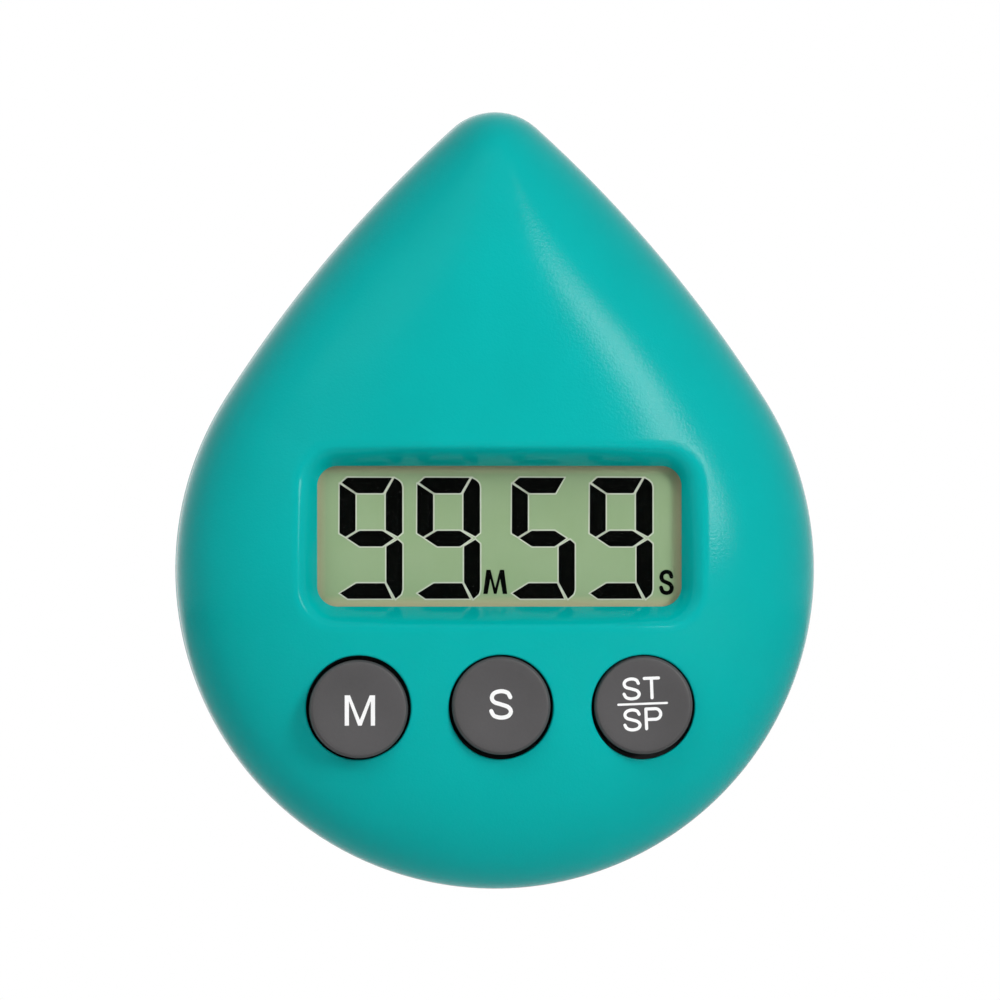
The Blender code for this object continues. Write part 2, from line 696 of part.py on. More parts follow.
def rear_cover():
    """The rear dish: gasket ledge and lip, case bosses, battery well, keyhole pocket and buzzer ring."""
    cover = place("rear_cover", lofted("rear_cover", rear_rings(), True, True), teal, housing_frame)
    inside = rear_back + WALL / 2
    battery = (0, battery_y)
    key_low = (0, key_y)
    key_high = (0, cup_y)
    plate_low = (0, key_y - key_plate_reach + KEY_PLATE_HALF_WIDTH)
    plate_high = (0, cup_y + key_plate_reach - KEY_PLATE_HALF_WIDTH)
    pad = slot(plate_low, plate_high, KEY_PLATE_HALF_WIDTH + GAP + POCKET_WALL)
    well = circle(battery, groove_radius + WELL_WALL, 28)
    joined = [
        slab("well_outside", [well], inside, groove_front + WELL_WALL),
        slab("cell_outside", [circle(battery, bore_radius + WELL_WALL * 0.6, 28)], inside, well_front),
        slab("key_pad", [pad], inside, key_pad_front),
        slab("key_pocket_wall", [slot(key_low, key_high, pocket_radius + POCKET_WALL)], inside, pocket_front),
        slab("buzzer_ring", [circle((buzzer_x, buzzer_y), BUZZER_RADIUS, 28)], inside, buzzer_seat),
    ]
    for index, place_of in enumerate(case_screws):
        boss = circle(place_of, case_head_radius + CASE_BORE_WALL, 18)
        joined.append(slab(f"rear_boss_{index}", [boss], inside, lip_top - SMALL_GAP))
    for index, place_of in enumerate(key_screws):
        boss = circle(place_of, PLATE_SCREW_RADIUS + GAP + PLATE_BOSS_WALL, 14)
        joined.append(slab(f"key_boss_{index}", [boss], inside, key_ledge + PLATE_SCREW_LENGTH))
    for addition in joined:
        combine(cover, "UNION", addition)
    outside = rear_back - OVERCUT
    buzzer_hollow = circle((buzzer_x, buzzer_y), BUZZER_RADIUS - BUZZER_RING_WALL, 28)
    cuts = [
        slab("buzzer_hollow", [buzzer_hollow], rear_floor, buzzer_seat + OVERCUT),
        slab("cap_counterbore", [circle(battery, counterbore_radius, 32)], outside, seat_back),
        slab("o_ring_groove", [circle(battery, groove_radius, 28)], outside, lip_back),
        slab("hub_bore", [circle(battery, bore_radius, 28)], outside, groove_front),
        slab("lug_groove", [circle(battery, groove_radius, 28)], lip_front, groove_front),
        slab("cell_bore", [circle(battery, hub_inner, 28)], outside, well_floor),
        slab("key_ledge", [slot(plate_low, plate_high, KEY_PLATE_HALF_WIDTH + GAP)], outside, key_ledge),
        slab("key_pocket", [slot(key_low, key_high, pocket_radius)], outside, pocket_floor),
    ]
    for index, start in enumerate((0, 180)):
        notch = [battery] + arc(battery, notch_radius, start - NOTCH_SPREAD / 2, start + NOTCH_SPREAD / 2, 6)
        cuts.append(slab(f"bayonet_notch_{index}", [notch], outside, lug_front))
    for index, place_of in enumerate(case_screws):
        head_bore = circle(place_of, case_head_radius + GAP, 18)
        shank_bore = circle(place_of, CASE_SCREW_RADIUS + GAP, 12)
        cuts.append(slab(f"case_head_bore_{index}", [head_bore], outside, case_seat))
        cuts.append(slab(f"case_bore_{index}", [shank_bore], outside, lip_top + OVERCUT))
    for index, place_of in enumerate(key_screws):
        pilot = circle(place_of, PLATE_SCREW_RADIUS + GAP, 12)
        reach = key_ledge + PLATE_SCREW_LENGTH - PLATE_PILOT_FLOOR
        cuts.append(slab(f"key_pilot_{index}", [pilot], outside, reach))
    way = box_outline(battery, NEGATIVE_TAB_WIDTH + 2 * GAP, NEGATIVE_TAB_THICK + 2 * GAP)
    cuts.append(slab("negative_way", [way], well_floor - OVERCUT, well_front + OVERCUT))
    way = box_outline((positive_x(), battery_y), CONTACT_THICK + 2 * GAP, POSITIVE_TAB_WIDTH + 2 * GAP)
    cuts.append(slab("positive_way", [way], lug_front, well_front + OVERCUT))
    for cut in cuts:
        combine(cover, "DIFFERENCE", cut)
    smooth(cover.data, 50)


def box_outline(centre, width, height):
    """Corners of a rectangle."""
    half_x = width / 2
    half_y = height / 2
    return [
        (centre[0] - half_x, centre[1] - half_y),
        (centre[0] + half_x, centre[1] - half_y),
        (centre[0] + half_x, centre[1] + half_y),
        (centre[0] - half_x, centre[1] + half_y),
    ]


def positive_x():
    """Place of the side contact, just outside the cell."""
    return CELL_RADIUS + GAP + CONTACT_THICK / 2


def casing():
    """The two shells, the ring that seals them and the screws that hold them."""
    front_shell()
    rear_cover()
    seal = [drop_outline(gasket_outer), drop_outline(gasket_inner)]
    plate("case_gasket", seal, rear_rim, rear_rim + GASKET_THICK, grey_rubber)
    for index, place_of in enumerate(case_screws):
        screw(
            f"case_screw_{index + 1}",
            place_of,
            CASE_SCREW_RADIUS,
            case_head_radius,
            case_head_back,
            CASE_HEAD_THICK,
            CASE_SCREW_LENGTH,
            steel,
        )


def display():
    """Lens, glass, reflector, holder and the two contact strips."""
    centre = (0, WINDOW_RAISE)
    lens_outline = rounded_box(
        centre,
        WINDOW_WIDTH + 2 * LENS_FLANGE,
        WINDOW_HEIGHT + 2 * LENS_FLANGE,
        WINDOW_RADIUS,
    )
    lens = plate("window_lens", [lens_outline], lens_back, lens_step, clear_plastic)
    inner = rounded_box(
        centre,
        WINDOW_WIDTH - 2 * LENS_CLEARANCE,
        WINDOW_HEIGHT - 2 * LENS_CLEARANCE,
        WINDOW_RADIUS - LENS_CLEARANCE,
    )
    combine(lens, "UNION", slab("lens_step", [inner], lens_back + LENS_PLATE / 2, lens_front))
    front_sheet = box_outline(centre, glass_width, glass_height)
    rear_sheet = box_outline(centre, glass_width, glass_height - 2 * CONTACT_LEDGE)
    glass = plate("display_glass", [front_sheet], glass_middle, glass_front, display_glass)
    rear_glass = slab("glass_rear_sheet", [rear_sheet], glass_back, glass_middle + GLASS_SHEET / 2)
    combine(glass, "UNION", rear_glass)
    foil_height = glass_height - 2 * CONTACT_LEDGE - REFLECTOR_TRIM
    foil = box_outline(centre, glass_width - 2 * REFLECTOR_TRIM, foil_height)
    plate("display_reflector", [foil], reflector_back, reflector_front, reflector_foil)
    outer = rounded_box(centre, holder_width, holder_height, HOLDER_CORNER, steps=3)
    strip_y = glass_height / 2 - CONTACT_LEDGE / 2 + SMALL_GAP
    strip_length = glass_width - 2 * STRIP_MARGIN
    holder = plate("display_holder", [outer], holder_back, glass_front, white_plastic)
    for name, side in (("contact_strip_bottom", -1), ("contact_strip_top", 1)):
        strip_centre = (0, WINDOW_RAISE + side * strip_y)
        strip = box_outline(strip_centre, strip_length, STRIP_WIDTH)
        plate(name, [strip], holder_back, glass_middle - GAP, black_rubber)
        way = box_outline(strip_centre, strip_length + GAP, STRIP_WIDTH + GAP)
        combine(holder, "DIFFERENCE", slab(name + "_way", [way], holder_back - OVERCUT, glass_front))
    pocket = box_outline(centre, glass_width + 2 * GAP, glass_height + 2 * GAP)
    combine(holder, "DIFFERENCE", slab("glass_pocket", [pocket], shelf_front, glass_front + OVERCUT))
    below = box_outline(centre, strip_length, glass_height - 2 * (CONTACT_LEDGE + HOLDER_BAR))
    combine(holder, "DIFFERENCE", slab("holder_hollow", [below], holder_back - OVERCUT, shelf_back))


def board():
    """The circuit board with its chip, crystal and screws."""
    centre = (0, (board_top + board_bottom) / 2)
    outline = rounded_box(
        centre, 2 * board_half_width, board_top - board_bottom, BOARD_TOP_CORNER, BOARD_LOW_CORNER, steps=8
    )
    holes = [circle(place_of, BOARD_SCREW_RADIUS + GAP, 12) for place_of in board_screws]
    sheet = plate("circuit_board", [outline, *holes], board_back, board_front, board_green)
    for index, place_of in enumerate(case_screws):
        notch = circle(place_of, CASE_BOSS_RADIUS + BOARD_NOTCH_CLEARANCE, 20)
        cut = slab(f"board_notch_{index}", [notch], board_back - OVERCUT, board_front + OVERCUT)
        combine(sheet, "DIFFERENCE", cut)
    for index, place_of in enumerate(board_screws):
        screw(
            f"board_screw_{index + 1}",
            place_of,
            BOARD_SCREW_RADIUS,
            BOARD_SCREW_RADIUS + BOARD_HEAD_STEP,
            board_back - GAP - BOARD_HEAD_THICK,
            BOARD_HEAD_THICK,
            BOARD_SCREW_LENGTH,
            steel,
        )
    chip_top = board_back - GAP
    resin = []
    for step in range(6):
        angle = math.radians(90) * step / 5
        resin.append((CHIP_RADIUS * math.cos(angle), chip_top - CHIP_RISE * math.sin(angle)))
    resin[-1] = (0, chip_top - CHIP_RISE)
    turned("chip_resin", [(0, chip_top), *resin], black_resin, chip_place(), housing_frame, steps=20)
    form = bmesh.new()
    lying = Matrix.Rotation(math.radians(90), 4, "Y")
    bmesh.ops.create_cone(
        form,
        cap_ends=True,
        segments=16,
        radius1=CRYSTAL_RADIUS,
        radius2=CRYSTAL_RADIUS,
        depth=CRYSTAL_LENGTH,
        matrix=lying,
    )
    chip_x, chip_y = chip_place()
    can_centre = (chip_x, chip_y + CHIP_RADIUS + CRYSTAL_TO_CHIP, chip_top - CRYSTAL_RADIUS)
    bmesh.ops.translate(form, verts=form.verts, vec=can_centre)
    mesh = bpy.data.meshes.new("crystal_can")
    form.to_mesh(mesh)
    form.free()
    smooth(mesh)
    place("crystal_can", mesh, steel, housing_frame)


def chip_place():
    """Centre of the chip, on the free side of the board opposite the buzzer."""
    return -buzzer_x - CHIP_INSET, buzzer_y - CHIP_DROP


def keypad():
    """Three caps, the rubber mat with its domes, and a carbon pill under each dome."""
    mat_outline = slot(button_places[0], button_places[-1], MAT_HALF_WIDTH)
    mat = plate("keypad_mat", [mat_outline], mat_back, mat_front, grey_rubber)
    names = ("minute", "second", "start_stop")
    for name, centre in zip(names, button_places):
        shape = [
            (0, rubber_top),
            (RUBBER_DOME_TOP, rubber_top),
            (RUBBER_DOME_RADIUS, mat_front - MAT_THICK / 2),
            (0, mat_front - MAT_THICK / 2),
        ]
        combine(mat, "UNION", turned_helper(name + "_dome", shape, centre, 20))
    for name, centre in zip(names, button_places):
        shape = [
            (0, rubber_inside),
            (RUBBER_DOME_TOP - RUBBER_WALL, rubber_inside),
            (RUBBER_DOME_RADIUS - RUBBER_WALL, mat_back - OVERCUT / 2),
            (0, mat_back - OVERCUT / 2),
        ]
        combine(mat, "DIFFERENCE", turned_helper(name + "_dome_hollow", shape, centre, 20))
        shape = [(0, pill_front), (PILL_RADIUS, pill_front), (PILL_RADIUS, pill_back), (0, pill_back)]
        turned(name + "_pill", shape, black_rubber, centre, housing_frame, steps=14)
        button_cap(name + "_button", centre)


def turned_helper(name, profile, centre, steps):
    """A turned cutter or addition."""
    made = helper(name, profile_mesh(name, profile))
    made.location = (centre[0], centre[1], 0)
    add_turn(made, steps)
    return made


def button_cap(name, centre):
    """A round cap with a slightly dished face, a chamfered rim and a flange that the shell retains."""
    face = belly_height(math.hypot(*centre)) + BUTTON_PROUD
    shape = [
        (0, face - BUTTON_DISH),
        (BUTTON_RADIUS * 0.45, face - BUTTON_DISH * 0.8),
        (BUTTON_RADIUS - 2 * BUTTON_CHAMFER, face),
        (BUTTON_RADIUS - BUTTON_CHAMFER * 0.4, face - BUTTON_CHAMFER * 0.4),
        (BUTTON_RADIUS, face - BUTTON_CHAMFER * 1.4),
        (BUTTON_RADIUS, flange_front),
        (FLANGE_RADIUS, flange_front),
        (FLANGE_RADIUS, flange_back),
        (0, flange_back),
    ]
    turned(name, shape, button_grey, centre, housing_frame, steps=24)


def battery():
    """The cell, its contacts, and the bayonet cap with its ring."""
    centre = (0, battery_y)
    step_front = cell_front - CELL_CAP_THICK
    cell = [
        (0, cell_front),
        (CELL_CAP_RADIUS, cell_front),
        (CELL_CAP_RADIUS, step_front),
        (CELL_RADIUS - CELL_EDGE, step_front),
        (CELL_RADIUS, step_front - CELL_EDGE),
        (CELL_RADIUS, cell_back + CELL_EDGE),
        (CELL_RADIUS - CELL_EDGE, cell_back),
        (0, cell_back),
    ]
    turned("battery_cell", cell, steel, centre, housing_frame, steps=28)
    cap = [
        (0, cap_front),
        (hub_inner, cap_front),
        (hub_inner, lug_front),
        (hub_outer, lug_front),
        (hub_outer, cap_front),
        (cap_radius, cap_front),
        (cap_radius, cap_back + CAP_EDGE),
        (cap_radius - CAP_EDGE, cap_back),
        (0, cap_back),
    ]
    lid = turned("battery_cap", cap, dark_plastic, centre, housing_frame, steps=32)
    for index, start in enumerate((CAP_TURN, CAP_TURN + 180)):
        outer = arc(centre, lug_radius, start - LUG_SPREAD / 2, start + LUG_SPREAD / 2, 4)
        inner = arc(centre, hub_outer - CAP_HUB_WALL / 2, start + LUG_SPREAD / 2, start - LUG_SPREAD / 2, 4)
        combine(lid, "UNION", slab(f"cap_lug_{index}", [outer + inner], lug_back, lug_front - SMALL_GAP))
    low = (-COIN_SLOT_LENGTH / 2, battery_y - COIN_SLOT_WIDTH / 2, cap_back - OVERCUT)
    high = (COIN_SLOT_LENGTH / 2, battery_y + COIN_SLOT_WIDTH / 2, cap_back + COIN_SLOT_DEPTH)
    combine(lid, "DIFFERENCE", helper("coin_slot", box_mesh("coin_slot", low, high)))
    ring_radius = (hub_outer + groove_radius) / 2
    ring = arc((ring_radius, o_ring_middle), O_RING_THICK / 2, 90, -270, 8)[:-1]
    turned("battery_o_ring", ring, black_rubber, centre, housing_frame, steps=24, closed=True)
    disc = circle(centre, CELL_CAP_RADIUS - CONTACT_INSET, 20)
    negative = plate("battery_contact_negative", [disc], contact_back, contact_front, steel)
    half_width = NEGATIVE_TAB_WIDTH / 2
    half_thick = NEGATIVE_TAB_THICK / 2
    low = (-half_width, battery_y - half_thick, contact_back + CONTACT_THICK / 2)
    high = (half_width, battery_y + half_thick, tab_end)
    combine(negative, "UNION", helper("negative_tab", box_mesh("negative_tab", low, high)))
    side = positive_x()
    low = (side - CONTACT_THICK / 2, battery_y - POSITIVE_TAB_WIDTH / 2, lug_front + 2 * GAP)
    high = (side + CONTACT_THICK / 2, battery_y + POSITIVE_TAB_WIDTH / 2, tab_end)
    place("battery_contact_positive", box_mesh("battery_contact_positive", low, high), steel, housing_frame)


def hanger():
    """The keyhole plate, its screws, and the suction cup."""
    low = (0, key_y - key_plate_reach + KEY_PLATE_HALF_WIDTH)
    high = (0, cup_y + key_plate_reach - KEY_PLATE_HALF_WIDTH)
    wide = KNOB_RADIUS + KEY_CLEARANCE
    narrow = NECK_RADIUS + KEY_CLEARANCE
    entry = math.degrees(math.asin(narrow / wide))
    keyhole = arc((0, cup_y), narrow, 0, 180, 8) + arc((0, key_y), wide, 90 + entry, 450 - entry, 20)
    holes = [circle(place_of, PLATE_SCREW_RADIUS + GAP / 2, 12) for place_of in key_screws]
    outline = slot(low, high, KEY_PLATE_HALF_WIDTH)
    key_plate = plate("keyhole_plate", [outline, keyhole, *holes], rear_back, key_plate_front, dark_plastic)
    plate_head_radius = PLATE_SCREW_RADIUS + PLATE_HEAD_STEP
    sink_floor = rear_back + PLATE_HEAD_THICK + PLATE_HEAD_CLEARANCE
    for index, place_of in enumerate(key_screws):
        sink = circle(place_of, plate_head_radius + PLATE_HEAD_CLEARANCE, 16)
        cut = slab(f"key_sink_{index}", [sink], rear_back - OVERCUT, sink_floor)
        combine(key_plate, "DIFFERENCE", cut)
        screw(
            f"plate_screw_{index + 1}",
            place_of,
            PLATE_SCREW_RADIUS,
            plate_head_radius,
            rear_back,
            PLATE_HEAD_THICK,
            PLATE_SCREW_LENGTH,
            steel,
        )
    shoulder = CUP_STANDOFF - GAP
    knob_back = CUP_STANDOFF + KEY_PLATE_THICK + GAP
    knob_front = knob_back + KNOB_THICK
    hollow_edge = CUP_RADIUS - CUP_RIM_WIDTH
    profile = [
        (0, knob_front),
        (KNOB_RADIUS * 0.75, knob_front),
        (KNOB_RADIUS, knob_front - KNOB_THICK * 0.4),
        (KNOB_RADIUS, knob_back),
        (NECK_RADIUS, knob_back),
        (NECK_RADIUS, shoulder),
        (CUP_BOSS_RADIUS, shoulder),
        (CUP_BOSS_RADIUS, CUP_CROWN),
    ]
    for step in range(1, 8):
        share = step / 7
        radius = CUP_BOSS_RADIUS + (CUP_RADIUS - CUP_BOSS_RADIUS) * share
        height = CUP_RIM_THICK + (CUP_CROWN - CUP_RIM_THICK) * (1 - share**1.6)
        profile.append((radius, height))
    profile += [(CUP_RADIUS, 0), (hollow_edge, 0)]
    for step in range(1, 7):
        share = step / 6
        profile.append((hollow_edge * (1 - share), CUP_HOLLOW * (1 - (1 - share) ** 2)))
    cup = turned("suction_cup", profile, soft_vinyl, (0, 0), cup_frame, steps=32)
    smooth(cup.data)


def buzzer():
    """The brass and ceramic discs of the buzzer."""
    centre = (buzzer_x, buzzer_y)
    plate("buzzer_brass", [circle(centre, BUZZER_RADIUS, 32)], buzzer_back, buzzer_back + BUZZER_THICK, brass)
    ceramic_front = ceramic_back + BUZZER_THICK
    plate("buzzer_ceramic", [circle(centre, BUZZER_CERAMIC_RADIUS, 28)], ceramic_back, ceramic_front, ceramic)


def wire(name, route, material):
    """An insulated wire through a few points, as a smooth tube."""
    curve = bpy.data.curves.new(name, "CURVE")
    curve.dimensions = "3D"
    curve.bevel_depth = WIRE_RADIUS
    curve.bevel_resolution = 1
    curve.use_fill_caps = True
    spline = curve.splines.new("POLY")
    spans = len(route) - 1
    points = []
    for index in range(spans):
        before = Vector(route[max(0, index - 1)])
        here = Vector(route[index])
        after = Vector(route[index + 1])
        beyond = Vector(route[min(spans, index + 2)])
        for step in range(4):
            t = step / 4
            bend = (2 * here) + (after - before) * t + (2 * before - 5 * here + 4 * after - beyond) * t * t
            bend += (3 * here - before - 3 * after + beyond) * t**3
            points.append(bend / 2)
    points.append(Vector(route[-1]))
    spline.points.add(len(points) - 1)
    for knot, point in zip(spline.points, points):
        knot.co = (*point, 1)
    made = bpy.data.objects.new(name, curve)
    made.parent = housing_frame
    curve.materials.append(material)
    parts.objects.link(made)


def wires():
    """Leads from the battery contacts and the buzzer to solder points on the back of the board."""
    step = WIRE_STEP
    solder = board_back - GAP
    level = (well_front + board_back) / 2
    side = positive_x() + CONTACT_THICK / 2 + GAP + WIRE_RADIUS
    tab_level = tab_end - 0.4 * step
    right = chip_place()[0]
    route = [
        (side, battery_y, tab_level),
        (side + 4 * step, battery_y + step, tab_level - 0.8 * step),
        (right, battery_y + 3 * step, level - 2 * step),
        (right + 1.5 * step, battery_y + 6 * step, level),
        (right, battery_y + 7.5 * step, solder),
    ]
    wire("red_battery_wire", route, red_insulation)
    start_y = battery_y + NEGATIVE_TAB_THICK / 2 + GAP + WIRE_RADIUS
    route = [
        (0, start_y, tab_level),
        (-3 * step, start_y + 2 * step, tab_level),
        (-10 * step, battery_y + 9 * step, tab_level - 1.2 * step),
        (-13.5 * step, battery_y + 10.5 * step, level),
        (-14.5 * step, battery_y + 10.5 * step, solder),
    ]
    wire("black_battery_wire", route, black_insulation)
    disc_front = ceramic_back + BUZZER_THICK + GAP + WIRE_RADIUS
    edge = buzzer_back + BUZZER_THICK + GAP + WIRE_RADIUS
    high_level = rear_floor + 6 * step
    route = [
        (buzzer_x + 2 * step, buzzer_y + 2 * step, disc_front),
        (buzzer_x + 4 * step, buzzer_y + 6 * step, disc_front + step),
        (buzzer_x + 6 * step, buzzer_y + 10 * step, high_level),
        (buzzer_x + 7 * step, buzzer_y + 10.5 * step, solder),
    ]
    wire("red_buzzer_wire", route, red_insulation)
    route = [
        (buzzer_x - step, buzzer_y + 7.7 * step, edge),
        (buzzer_x + step, buzzer_y + 10.5 * step, edge + 0.6 * step),
        (buzzer_x + 3 * step, buzzer_y + 12.5 * step, high_level),
        (buzzer_x + 4 * step, buzzer_y + 12.8 * step, solder),
    ]
    wire("black_buzzer_wire", route, black_insulation)


casing()
display()
board()
keypad()
battery()
hanger()
buzzer()
wires()
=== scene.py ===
import math
import bmesh
import bpy
from mathutils import Matrix, Quaternion, Vector
from mathutils.kdtree import KDTree


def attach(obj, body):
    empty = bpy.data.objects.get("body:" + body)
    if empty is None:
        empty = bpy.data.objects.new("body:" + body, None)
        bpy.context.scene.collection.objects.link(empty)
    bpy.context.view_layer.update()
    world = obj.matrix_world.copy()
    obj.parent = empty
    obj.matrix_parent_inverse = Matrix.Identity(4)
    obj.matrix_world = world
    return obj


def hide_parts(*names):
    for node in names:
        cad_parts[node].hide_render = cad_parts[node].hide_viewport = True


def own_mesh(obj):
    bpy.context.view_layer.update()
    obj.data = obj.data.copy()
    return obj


# A water-drop shower timer: the finish of its casing, display, buttons and suction cup.
# Shapes are drawn in a front frame in millimetres: x right, y up from the belly's centre,
# z towards the viewer from the seam of the casing.

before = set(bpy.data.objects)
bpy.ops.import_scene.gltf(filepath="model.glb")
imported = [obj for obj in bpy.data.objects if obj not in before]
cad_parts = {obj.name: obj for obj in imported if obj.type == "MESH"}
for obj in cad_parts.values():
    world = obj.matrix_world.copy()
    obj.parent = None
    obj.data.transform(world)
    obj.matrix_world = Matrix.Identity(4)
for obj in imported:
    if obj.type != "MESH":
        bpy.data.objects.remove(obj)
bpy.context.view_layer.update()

mm = 0.001
seamToWall = 18.0
bellyAboveCup = -9.2
cupToRow = Matrix.Rotation(math.radians(90), 4, "X") @ Matrix.Scale(mm, 4)
toRow = Matrix.Translation((0, -seamToWall * mm, bellyAboveCup * mm)) @ cupToRow


# turns a bmesh drawn in millimetres into an object that rides on a body, and replaces a named node
def addPiece(name, bm, finish, body, node=None, place=toRow, sharpAngle=38):
    bmesh.ops.transform(bm, matrix=place, verts=bm.verts)
    mesh = bpy.data.meshes.new(name)
    bm.to_mesh(mesh)
    bm.free()
    mesh.materials.append(materials[finish])
    mesh.shade_smooth()
    mesh.set_sharp_from_angle(angle=math.radians(sharpAngle))
    piece = bpy.data.objects.new(name, mesh)
    bpy.context.scene.collection.objects.link(piece)
    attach(piece, body)
    if node:
        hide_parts(node)
    return piece


# exact Booleans of a bmesh with a list of closed bmeshes
def cutWith(bm, cutters, operation="DIFFERENCE"):
    def tempObject(source):
        mesh = bpy.data.meshes.new("temp")
        source.to_mesh(mesh)
        source.free()
        made = bpy.data.objects.new("temp", mesh)
        bpy.context.scene.collection.objects.link(made)
        return made
    target, *others = [tempObject(source) for source in [bm, *cutters]]
    for other in others:
        modifier = target.modifiers.new("cut", "BOOLEAN")
        modifier.operation = operation
        modifier.solver = "EXACT"
        modifier.object = other
    bpy.context.view_layer.update()
    graph = bpy.context.evaluated_depsgraph_get()
    result = bmesh.new()
    result.from_mesh(target.evaluated_get(graph).to_mesh())
    for made in [target, *others]:
        mesh = made.data
        bpy.data.objects.remove(made)
        bpy.data.meshes.remove(mesh)
    return result


# turns a profile of (radius, height) points about the z axis through a centre
def spun(profile, centre=(0, 0), steps=96, mergeGap=1e-5):
    bm = bmesh.new()
    line = [bm.verts.new((radius, 0, height)) for radius, height in profile]
    edges = [bm.edges.new(pair) for pair in zip(line, line[1:])]
    bmesh.ops.spin(bm, geom=line + edges, cent=(0, 0, 0), axis=(0, 0, 1),
                   angle=math.tau, steps=steps, use_merge=True, use_duplicate=False)
    bmesh.ops.remove_doubles(bm, verts=bm.verts, dist=mergeGap)
    bmesh.ops.recalc_face_normals(bm, faces=bm.faces)
    bmesh.ops.translate(bm, vec=(centre[0], centre[1], 0), verts=bm.verts)
    return bm


# rounds the inner corners of a profile, over no more than a share of the sides that meet there
def roundedProfile(points, radius, steps=5, sideShare=0.45):
    result = [points[0]]
    for before, corner, after in zip(points, points[1:], points[2:]):
        here = Vector(corner)
        back = Vector(before) - here
        ahead = Vector(after) - here
        reach = min(radius, back.length * sideShare, ahead.length * sideShare)
        start = here + back.normalized() * reach
        end = here + ahead.normalized() * reach
        for step in range(steps + 1):
            t = step / steps
            result.append(tuple(start * (1 - t) ** 2 + here * 2 * t * (1 - t) + end * t * t))
    result.append(points[-1])
    return result


# a body drawn through loops of points: a circle is laid on the first, and extruded to each next one
def ringBody(loops, closeFirst=True, closeLast=True):
    bm = bmesh.new()
    count = len(loops[0])
    verts = bmesh.ops.create_circle(bm, segments=count, radius=1)["verts"]
    for vert, point in zip(verts, loops[0]):
        vert.co = point
    first = list(verts)
    for loop in loops[1:]:
        edges = [bm.edges.get(pair) for pair in zip(verts, verts[1:] + verts[:1])]
        made = bmesh.ops.extrude_edge_only(bm, edges=edges)["geom"]
        fresh = {item for item in made if isinstance(item, bmesh.types.BMVert)}
        nextTo = [[edge.other_vert(vert) for edge in vert.link_edges] for vert in verts]
        verts = [next(vert for vert in others if vert in fresh) for others in nextTo]
        for vert, point in zip(verts, loop):
            vert.co = point
    if closeFirst:
        bm.faces.new(list(reversed(first)))
    if closeLast:
        bm.faces.new(verts)
    bmesh.ops.recalc_face_normals(bm, faces=bm.faces)
    return bm


driftNoise = (3.0, 0.5)  # detail and roughness
grainNoise = (1.5, 0.6)
noiseSpan = (0.3, 0.7)  # the middle part of a noise's values, which colours and gloss spread over


# noise on Object coordinates, scale in cycles for each metre
def addNoise(tree, scale, detail, roughness, stretch=(1, 1, 1)):
    coords = tree.nodes.new("ShaderNodeTexCoord")
    mapping = tree.nodes.new("ShaderNodeMapping")
    mapping.inputs["Scale"].default_value = stretch
    noise = tree.nodes.new("ShaderNodeTexNoise")
    noise.inputs["Scale"].default_value = scale
    noise.inputs["Detail"].default_value = detail
    noise.inputs["Roughness"].default_value = roughness
    tree.links.new(coords.outputs["Object"], mapping.inputs["Vector"])
    tree.links.new(mapping.outputs["Vector"], noise.inputs["Vector"])
    return noise.outputs["Fac"]


# a colour ramp between two colours
def addRamp(tree, source, low, high):
    ramp = tree.nodes.new("ShaderNodeValToRGB")
    for element, place, colour in zip(ramp.color_ramp.elements, noiseSpan, (low, high)):
        element.position = place
        element.color = (*colour, 1)
    tree.links.new(source, ramp.inputs["Fac"])
    return ramp.outputs["Color"]


# maps a span of values to a range
def addRange(tree, source, low, high, span=noiseSpan):
    node = tree.nodes.new("ShaderNodeMapRange")
    for socket, value in zip(("From Min", "From Max", "To Min", "To Max"), (*span, low, high)):
        node.inputs[socket].default_value = value
    tree.links.new(source, node.inputs["Value"])
    return node.outputs["Result"]


# a sum done on one or two values of a node tree
def addMath(tree, operation, *sources):
    node = tree.nodes.new("ShaderNodeMath")
    node.operation = operation
    for index, source in enumerate(sources):
        tree.links.new(source, node.inputs[index])
    return node


# a bump on the shader's normal
def addBump(tree, shader, source, strength, distance):
    bump = tree.nodes.new("ShaderNodeBump")
    bump.inputs["Strength"].default_value = strength
    bump.inputs["Distance"].default_value = distance
    tree.links.new(source, bump.inputs["Height"])
    tree.links.new(bump.outputs["Normal"], shader.inputs["Normal"])


